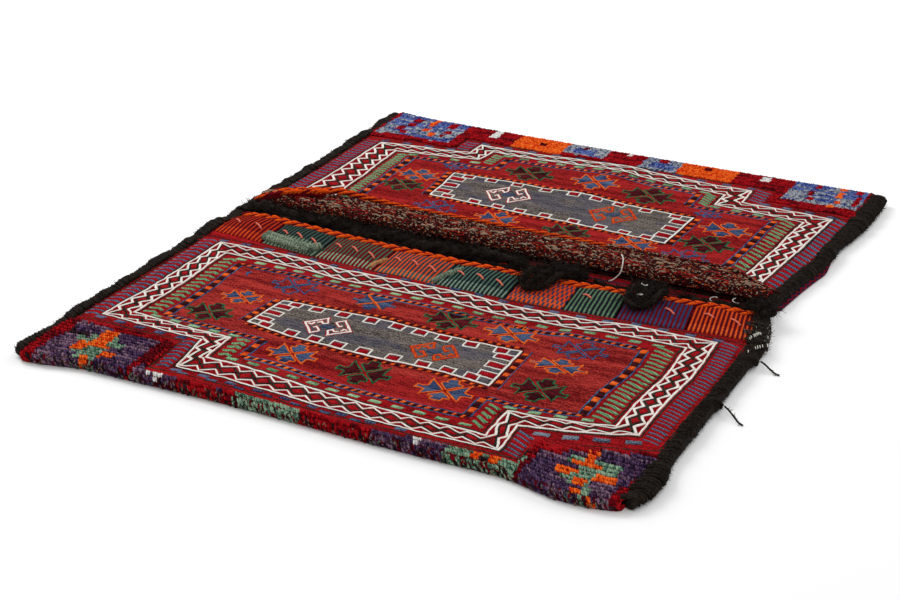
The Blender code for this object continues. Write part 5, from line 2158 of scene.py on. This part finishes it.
for number in range(SLACK_LOOPS):
    x = mixed(-0.42, 0.44, (number + chance.uniform(0, 0.8)) / SLACK_LOOPS)
    inner, out = roll_place(x, chance.uniform(0.25, 0.7))
    wide = chance.uniform(0.010, 0.022)
    line = []
    for stop in range(9):
        angle = 2 * math.pi * stop / 9.5
        ahead_by = Vector((wide * math.sin(angle), 0.006 * (1 - math.cos(angle)) - 0.006, 0))
        line.append(lie(*(inner + ahead_by + out * (0.0014 + 0.002 * math.sin(angle / 2)))))
    tube(roll_ends, smooth_line(line, 0.003), 0.0009, sides=5, kind=1)
for number in range(WORN_CORD_ENDS):
    x = chance.uniform(FAR_WORN_FROM, CLOTH_HALF - 0.01)
    y, z = far_cord_centre(x)
    radius = EDGE_CORD_RADIUS * far_cord_size(x)
    angle = chance.uniform(-1.5, 1.7)
    out = Vector((0, math.sin(angle), math.cos(angle)))
    way = Vector((1, chance.uniform(-0.8, 0.8), 0))
    way = (way - out * way.dot(out)).normalized()
    size = chance.uniform(0.003, 0.008)
    middle = Vector((x, y, z))
    line = [
        lie(*(middle + out * radius * (1.08 + 0.1 * math.sin(3 * stop)) + way * size * (stop - 0.5)))
        for stop in (0.0, 0.5, 1.0)
    ]
    thick = chance.uniform(0.0006, 0.0010)
    tube(roll_ends, line, thick, sides=4, kind=END_KINDS[chance.randrange(len(END_KINDS))])
roll_ends.piece("roll_yarn_ends", [end_cream, end_red, end_dark, end_orange, end_wine], "woven_wool")

# The overcast side seams: black goat hair wound over the edges of front and back together, turn by turn.
# The turns slant, bunch up in places and bristle; a straight core of the same hair fills them.
BINDING_WIDTH = 0.025
BINDING_HEIGHT = 0.022
WRAP_PITCH = 0.0062
WRAP_SLANT = 0.011
WRAP_RADIUS = 0.0034
WRAP_WAY = ((-0.30, 0.90), (-0.12, 0.95), (0.12, 0.98), (0.42, 1.0), (0.78, 0.84), (0.97, 0.5), (0.86, 0.12))
BINDINGS = (
    ("near_binding_left", -1, -FOLD_Y, 0.004),
    ("near_binding_right", 1, -FOLD_Y, 0.004),
    ("far_binding_left", -1, 0.012, FOLD_Y),
    ("far_binding_right", 1, 0.012, FOLD_Y),
)
SEAM_HAIRS = 1000
# Where an overcast seam is worn or drawn thin: side, from, to along the bag, and how much is missing
THIN_SEAMS = (
    (1, -0.56, -0.10, 0.46),
    (-1, -0.66, -0.10, 0.26),
    (-1, -0.66, -0.50, 0.28),
    (1, -0.02, 0.44, 0.36),
    (-1, 0.20, 0.60, 0.22),
)
# Where a thread ends in a knot, which swells the thin seam: its side and its place along the bag
SEAM_KNOTS = ((1, -0.147), (1, -0.3135))
KNOT_REACH = 0.015
WORN_REACH = 0.08
CORE_RADIUS = 0.0088


def seam_place(side, y, out, up, clump):
    """A point of an overcast seam, which bunches up, thins out, is worn in stretches and swells at a knot."""
    swell = 1 + clump * noise.noise(Vector((side * 3.1, 34 * y, 0.4)))
    worn = 1.0
    for thin_side, low, high, missing in THIN_SEAMS:
        if thin_side == side:
            worn -= missing * eased((y - low) / WORN_REACH) * eased((high - y) / WORN_REACH)
    for knot_side, knot_y in SEAM_KNOTS:
        if knot_side == side:
            worn = mixed(worn, 1.0, eased(1 - abs(y - knot_y) / KNOT_REACH))
    x = side * (CLOTH_HALF + SEAM_GAP + out * BINDING_WIDTH * (swell * worn if out > 0 else 1))
    return lie(x, y, up * (BINDING_HEIGHT - 0.004) * swell + 0.0036)


for node, side, start, end in BINDINGS:
    chance = random.Random(node)
    seam = Work()
    stops = max(2, round((end - start) / 0.01))
    core = [seam_place(side, mixed(start, end, stop / stops), 0.42, 0.40, 0.1) for stop in range(stops + 1)]
    tube(seam, core, CORE_RADIUS, sides=10)
    turns = round((end - start) / WRAP_PITCH)
    for turn in range(turns):
        y = start + (turn + 0.5) * WRAP_PITCH + chance.gauss(0, 0.0008)
        slant = WRAP_SLANT * chance.uniform(0.5, 1.5)
        line = []
        for stop, (out, up) in enumerate(WRAP_WAY):
            share = stop / (len(WRAP_WAY) - 1)
            at = min(max(y + slant * (share - 0.5), start - 0.002), end + 0.002)
            line.append(seam_place(side, at, out * 0.88, up, 0.22))
        thick = WRAP_RADIUS * chance.uniform(0.6, 1.25)
        tube(seam, smooth_line(line, 0.005), thick, sides=7, plies=3, lay=0.02, ply_depth=0.16)
    piece = seam.piece(node + "_wraps", [black_hair], "goat_hair")
    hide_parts(node)
    fluff = Work()
    for _ in range(round(SEAM_HAIRS * (end - start) / 0.62)):
        y = chance.uniform(start, end)
        out, up = chance.choice(WRAP_WAY)
        root = seam_place(side, y, out, up, 0.2)
        way = Vector((side * (0.3 + out), chance.uniform(-1.2, 1.2), chance.uniform(-0.2, 1.2)))
        length = chance.uniform(0.002, 0.0075)
        hair(fluff, chance, root, way, length, chance.uniform(0.0006, 0.0013), 0.6, 0.1)
    fluff.piece(node + "_stray_hairs", [black_hair], "goat_hair")

# Matted hair: the loops have felted into shaggy lobes on the bridge and in both corners of the mouths.
# It is the same black goat hair, loose, with its lighter streaks of dust and painted highlight.
MAT_LAY = 0.026
MAT_STEP = 0.0035
MAT_SIDES = 14
# Each lobe: its way, its radius, how many hairs stand out of it and, for one, how much its far end narrows
MATS = (
    (
        ((-0.512, 0.020, 0.020), (-0.49, 0.036, 0.022), (-0.45, 0.044, 0.018), (-0.41, 0.040, 0.016)),
        0.0150, 190,
    ),
    (((-0.455, 0.018, 0.014), (-0.42, 0.012, 0.016), (-0.385, 0.012, 0.013)), 0.0110, 180),
    (
        ((-0.395, 0.034, 0.016), (-0.36, 0.028, 0.020), (-0.32, 0.030, 0.019), (-0.285, 0.034, 0.014)),
        0.0135, 300,
    ),
    (((-0.300, 0.016, 0.013), (-0.26, 0.014, 0.018), (-0.22, 0.018, 0.015)), 0.0120, 210),
    (((-0.250, 0.034, 0.016), (-0.21, 0.032, 0.019), (-0.17, 0.030, 0.016)), 0.0125, 240),
    (
        ((-0.180, 0.018, 0.014), (-0.13, 0.014, 0.020), (-0.08, 0.018, 0.018), (-0.05, 0.024, 0.014)),
        0.0130, 290,
    ),
    (
        ((-0.070, 0.034, 0.016), (-0.03, 0.028, 0.021), (0.02, 0.026, 0.019), (0.05, 0.022, 0.014)),
        0.0125, 260,
    ),
    (((0.060, 0.010, 0.014), (0.10, 0.014, 0.016), (0.13, 0.014, 0.016), (0.16, 0.020, 0.014)), 0.0100, 180),
    (((0.330, 0.030, 0.013), (0.37, 0.026, 0.014), (0.41, 0.030, 0.013), (0.45, 0.026, 0.016)), 0.0075, 180),
    (
        ((0.440, 0.012, 0.016), (0.466, 0.024, 0.022), (0.474, 0.042, 0.022), (0.470, 0.058, 0.018)),
        0.0125, 240,
    ),
    (((0.480, -0.012, 0.022), (0.492, 0.006, 0.026), (0.490, 0.026, 0.024)), 0.0110, 210),
    (
        ((0.156, 0.024, 0.024), (0.132, -0.008, 0.034), (0.116, -0.050, 0.0405), (0.107, -0.090, 0.0370)),
        0.0150, 500, 0.5,
    ),
    (
        ((0.298, 0.020, 0.022), (0.295, -0.014, 0.035), (0.296, -0.046, 0.0405), (0.297, -0.080, 0.0380)),
        0.0115, 340,
    ),
)
mats = Work()
mat_hairs = Work()
chance = random.Random("mats")
for route, radius, hairs, *narrower in MATS:
    line = smooth_line(route, MAT_STEP)
    narrow = narrower[0] if narrower else 0.0
    last = len(line) - 1
    points = []
    flat = []
    for ring, centre in enumerate(line):
        forward = (line[min(ring + 1, last)] - line[max(ring - 1, 0)]).normalized()
        aside = forward.cross(Vector((0, 0, 1))).normalized()
        upward = aside.cross(forward)
        round_end = math.sin(math.pi * (0.12 + 0.76 * ring / last)) ** 0.5 * (1 - narrow * ring / last)
        for side in range(MAT_SIDES):
            angle = 2 * math.pi * side / MAT_SIDES
            twist = 0.86 + 0.18 * math.cos(2 * angle - 2 * math.pi * MAT_STEP * ring / MAT_LAY)
            spot_ahead = centre + aside * math.cos(angle) * 0.01 + upward * math.sin(angle) * 0.01
            reach = radius * round_end * twist * (1 + 0.5 * noise.noise(spot_ahead * 110))
            point = centre + reach * (math.cos(angle) * aside + 0.8 * math.sin(angle) * upward)
            point.z = max(point.z, CLOTH_THICK + 0.0006)
            points.append(point)
            flat.append((side * 0.006, ring * MAT_STEP))
    mats.add(points, tube_faces(len(line), MAT_SIDES), flat)
    for _ in range(hairs):
        centre = chance.choice(line)
        out = Vector((chance.gauss(0, 1), chance.gauss(0, 1), abs(chance.gauss(0.4, 0.8)))).normalized()
        root = centre + out * radius * 0.8
        way = out + Vector((chance.uniform(-1.5, 1.5), chance.uniform(-0.8, 0.8), 0))
        length = chance.uniform(0.008, 0.022)
        hair(mat_hairs, chance, root, way, length, chance.uniform(0.0007, 0.0017), 0.45, 0.12, 0.006)
mats.piece("matted_hair", [black_hair], "goat_hair")
mat_hairs.piece("matted_stray_hairs", [black_hair], "goat_hair")

# White curls: four curls of white cotton, two slack ends caught in the black hair at the right of the bridge,
# and two in the side loop's hair that are painted highlights for the white glints on it. Each: the middle of
# its curl, its radius, and where round it the end starts.
WHITE_CURLS_AND_GLINTS = (
    (0.393, 0.024, 0.026, 0.0060, 0.4),
    (0.434, 0.020, 0.032, 0.0065, 2.2),
    (0.292, -0.034, 0.0545, 0.0050, 3.6),
    (0.297, -0.070, 0.0515, 0.0050, 5.0),
)
curl_work = Work()
for x, y, z, radius, turn in WHITE_CURLS_AND_GLINTS:
    line = []
    for stop in range(8):
        angle = turn + 0.6 * stop
        line.append(Vector((x + radius * math.cos(angle), y + radius * math.sin(angle), z - 0.0006 * stop)))
    tube(curl_work, smooth_line(line, 0.002), 0.0008, sides=5, taper=0.3)
curl_work.piece("white_curls_and_glints", [white_cotton], "white_thread")

# The back's selvedge: where the far pouch's right seam is worn, the edge of the back panel shows below it.
# It is woven in small checks of wine red and blue.
SELVEDGE_FROM = 0.05
SELVEDGE_TO = 0.37
SELVEDGE_OUT = 0.0205
SELVEDGE_THICK = 0.0075
SELVEDGE_STEP = 0.004
# It comes out from under the seam within so many steps, and goes back under it over so many more
STEPS_OUT = 8
STEPS_BACK = 32


def checked_finish():
    """Small checks of wine red and blue wool, ribbed along the edge."""
    finish, tree = new_wool("checked_selvedge")
    red = yarns_node(tree, dye(100, 8, 18), dye(156, 26, 34), 0.0030, 0.0030, 0.6, 0.5)
    blue = yarns_node(tree, dye(16, 20, 40), dye(42, 50, 80), 0.0030, 0.0030, 0.6, 0.5)
    checks = tree.nodes.new("ShaderNodeTexChecker")
    checks.inputs["Scale"].default_value = 1.0
    moved = tree.nodes.new("ShaderNodeMapping")
    moved.inputs["Scale"].default_value = (190, 110, 1)
    tree.links.new(cloth_place(tree), moved.inputs["Vector"])
    tree.links.new(moved.outputs[0], checks.inputs["Vector"])
    shade = colour_node(tree, "MIX", checks.outputs["Fac"], red.outputs["Color"], blue.outputs["Color"])
    return dressed_wool(finish, shade, red.outputs["Height"], 0.0008)


selvedge = Work()
steps = round((SELVEDGE_TO - SELVEDGE_FROM) / SELVEDGE_STEP)
section = ((0.002, 0.0012), (0.002, 1.0), (0.6, 1.05), (0.9, 0.8), (1.0, 0.45), (0.92, 0.0012))
for step in range(steps + 1):
    y = mixed(SELVEDGE_FROM, SELVEDGE_TO, step / steps)
    ends = eased(step / STEPS_OUT) * eased((steps - step) / STEPS_BACK)
    for corner, (out, up) in enumerate(section):
        rib = 1 + 0.05 * (step % 2)
        x = CLOTH_HALF + SEAM_GAP + out * SELVEDGE_OUT * mixed(0.4, 1.0, ends) * rib
        selvedge.points.append(lie(x, y, 0.0006 + up * SELVEDGE_THICK))
        selvedge.flat.append((corner * 0.0052, y))
size = len(section)
for step in range(steps):
    for corner in range(size):
        beside = (corner + 1) % size
        start = step * size
        selvedge.faces.append((start + corner, start + size + corner, start + size + beside, start + beside))
selvedge.faces.append(tuple(range(size)))
selvedge.faces.append(tuple(reversed(range(steps * size, (steps + 1) * size))))
selvedge.kinds = [0] * len(selvedge.faces)
selvedge.piece("back_selvedge", [checked_finish()], "woven_wool")

# The mend: grey cotton sewn over the right seam beside the near mouth, where the overcasting had worn away.
# Its thread goes over and back five times, two rows of pale stitches slant across it, and frayed ends stand
# round it.
MEND_THICK = 0.003
MEND_COUNT = 5
MEND_FROM_Y = -0.098
MEND_TO_Y = -0.03
MEND_ON_FACE = 0.012
MEND_CLIMB = 0.0025
MEND_ENDS = 200
# Two rows of pale stitches: first and last place along the seam, and first and last share across it
MEND_ROWS = ((-0.100, -0.070, -0.10, 0.45), (-0.140, -0.100, 0.10, 0.95))
STITCHES_IN_ROW = 9
PALE_END_SHARE = 0.12
PALE_STITCH_SHARE = 0.7


def mend_line():
    """The mending thread's way: over the right seam and back, a step further along each time."""
    clear = MEND_THICK / 2 + SEAM_GAP
    outer = CLOTH_HALF + SEAM_GAP + BINDING_WIDTH + clear
    top = BINDING_HEIGHT + clear
    over = (
        (CLOTH_HALF - MEND_ON_FACE, CEILING + CLOTH_THICK + clear + MEND_CLIMB),
        (CLOTH_HALF, top),
        (CLOTH_HALF + BINDING_WIDTH / 2, top),
        (outer - 0.1 * BINDING_WIDTH, top - 0.1 * BINDING_HEIGHT),
        (outer, BINDING_HEIGHT / 2),
        (outer, 2 * MEND_THICK),
    )
    step = (MEND_TO_Y - MEND_FROM_Y) / (MEND_COUNT - 0.5)
    line = []
    for turn in range(MEND_COUNT):
        way = over if turn % 2 == 0 else over[::-1]
        for place, (x, z) in enumerate(way):
            line.append(lie(x, MEND_FROM_Y + step * (turn + 0.5 * place / (len(way) - 1)), z))
    return line


grey_cotton = hair_finish("grey_cotton", dye(34, 31, 29), dye(128, 119, 106), 0.9)
mend_body = Work()
mend_way = smooth_line(mend_line(), 0.003)
tube(mend_body, mend_way, MEND_THICK / 2, sides=8, plies=2, lay=0.007, ply_depth=0.25)
mend = mend_body.piece("mend_stitching", [grey_cotton], "mending_thread")
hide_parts("mend_thread")
frayed = Work()
chance = random.Random("mend")
for _ in range(MEND_ENDS):
    root = chance.choice(mend_way)
    way = Vector((chance.uniform(-1, 1), chance.uniform(-1, 1), chance.uniform(0, 1)))
    length = chance.uniform(0.005, 0.014)
    thick = chance.uniform(0.0005, 0.0010)
    pale = int(chance.random() < PALE_END_SHARE)
    hair(frayed, chance, root, way, length, thick, 0.6, 0.1, kind=pale)
for first_y, last_y, first_out, last_out in MEND_ROWS:
    for stitch in range(STITCHES_IN_ROW):
        share = stitch / (STITCHES_IN_ROW - 1)
        out = mixed(first_out, last_out, share)
        middle_y = mixed(first_y, last_y, share) + chance.uniform(-0.0015, 0.0015)
        reach = chance.uniform(0.003, 0.0048)
        strand = []
        for stop in (-1.0, -0.5, 0.0, 0.5, 1.0):
            up = 1.0 - 0.5 * max(out - 0.4, 0)
            at = seam_place(1, middle_y + reach * stop, out - 0.06 * stop, up, 0.22)
            strand.append(at + Vector((0.003 * max(out, 0), 0, 0.0050 - 0.0016 * stop * stop)))
        pale = int(chance.random() < PALE_STITCH_SHARE)
        tube(frayed, smooth_line(strand, 0.002), 0.0008, sides=5, kind=pale)
frayed.piece("mend_frayed_ends", [grey_cotton, white_cotton], "mending_thread")
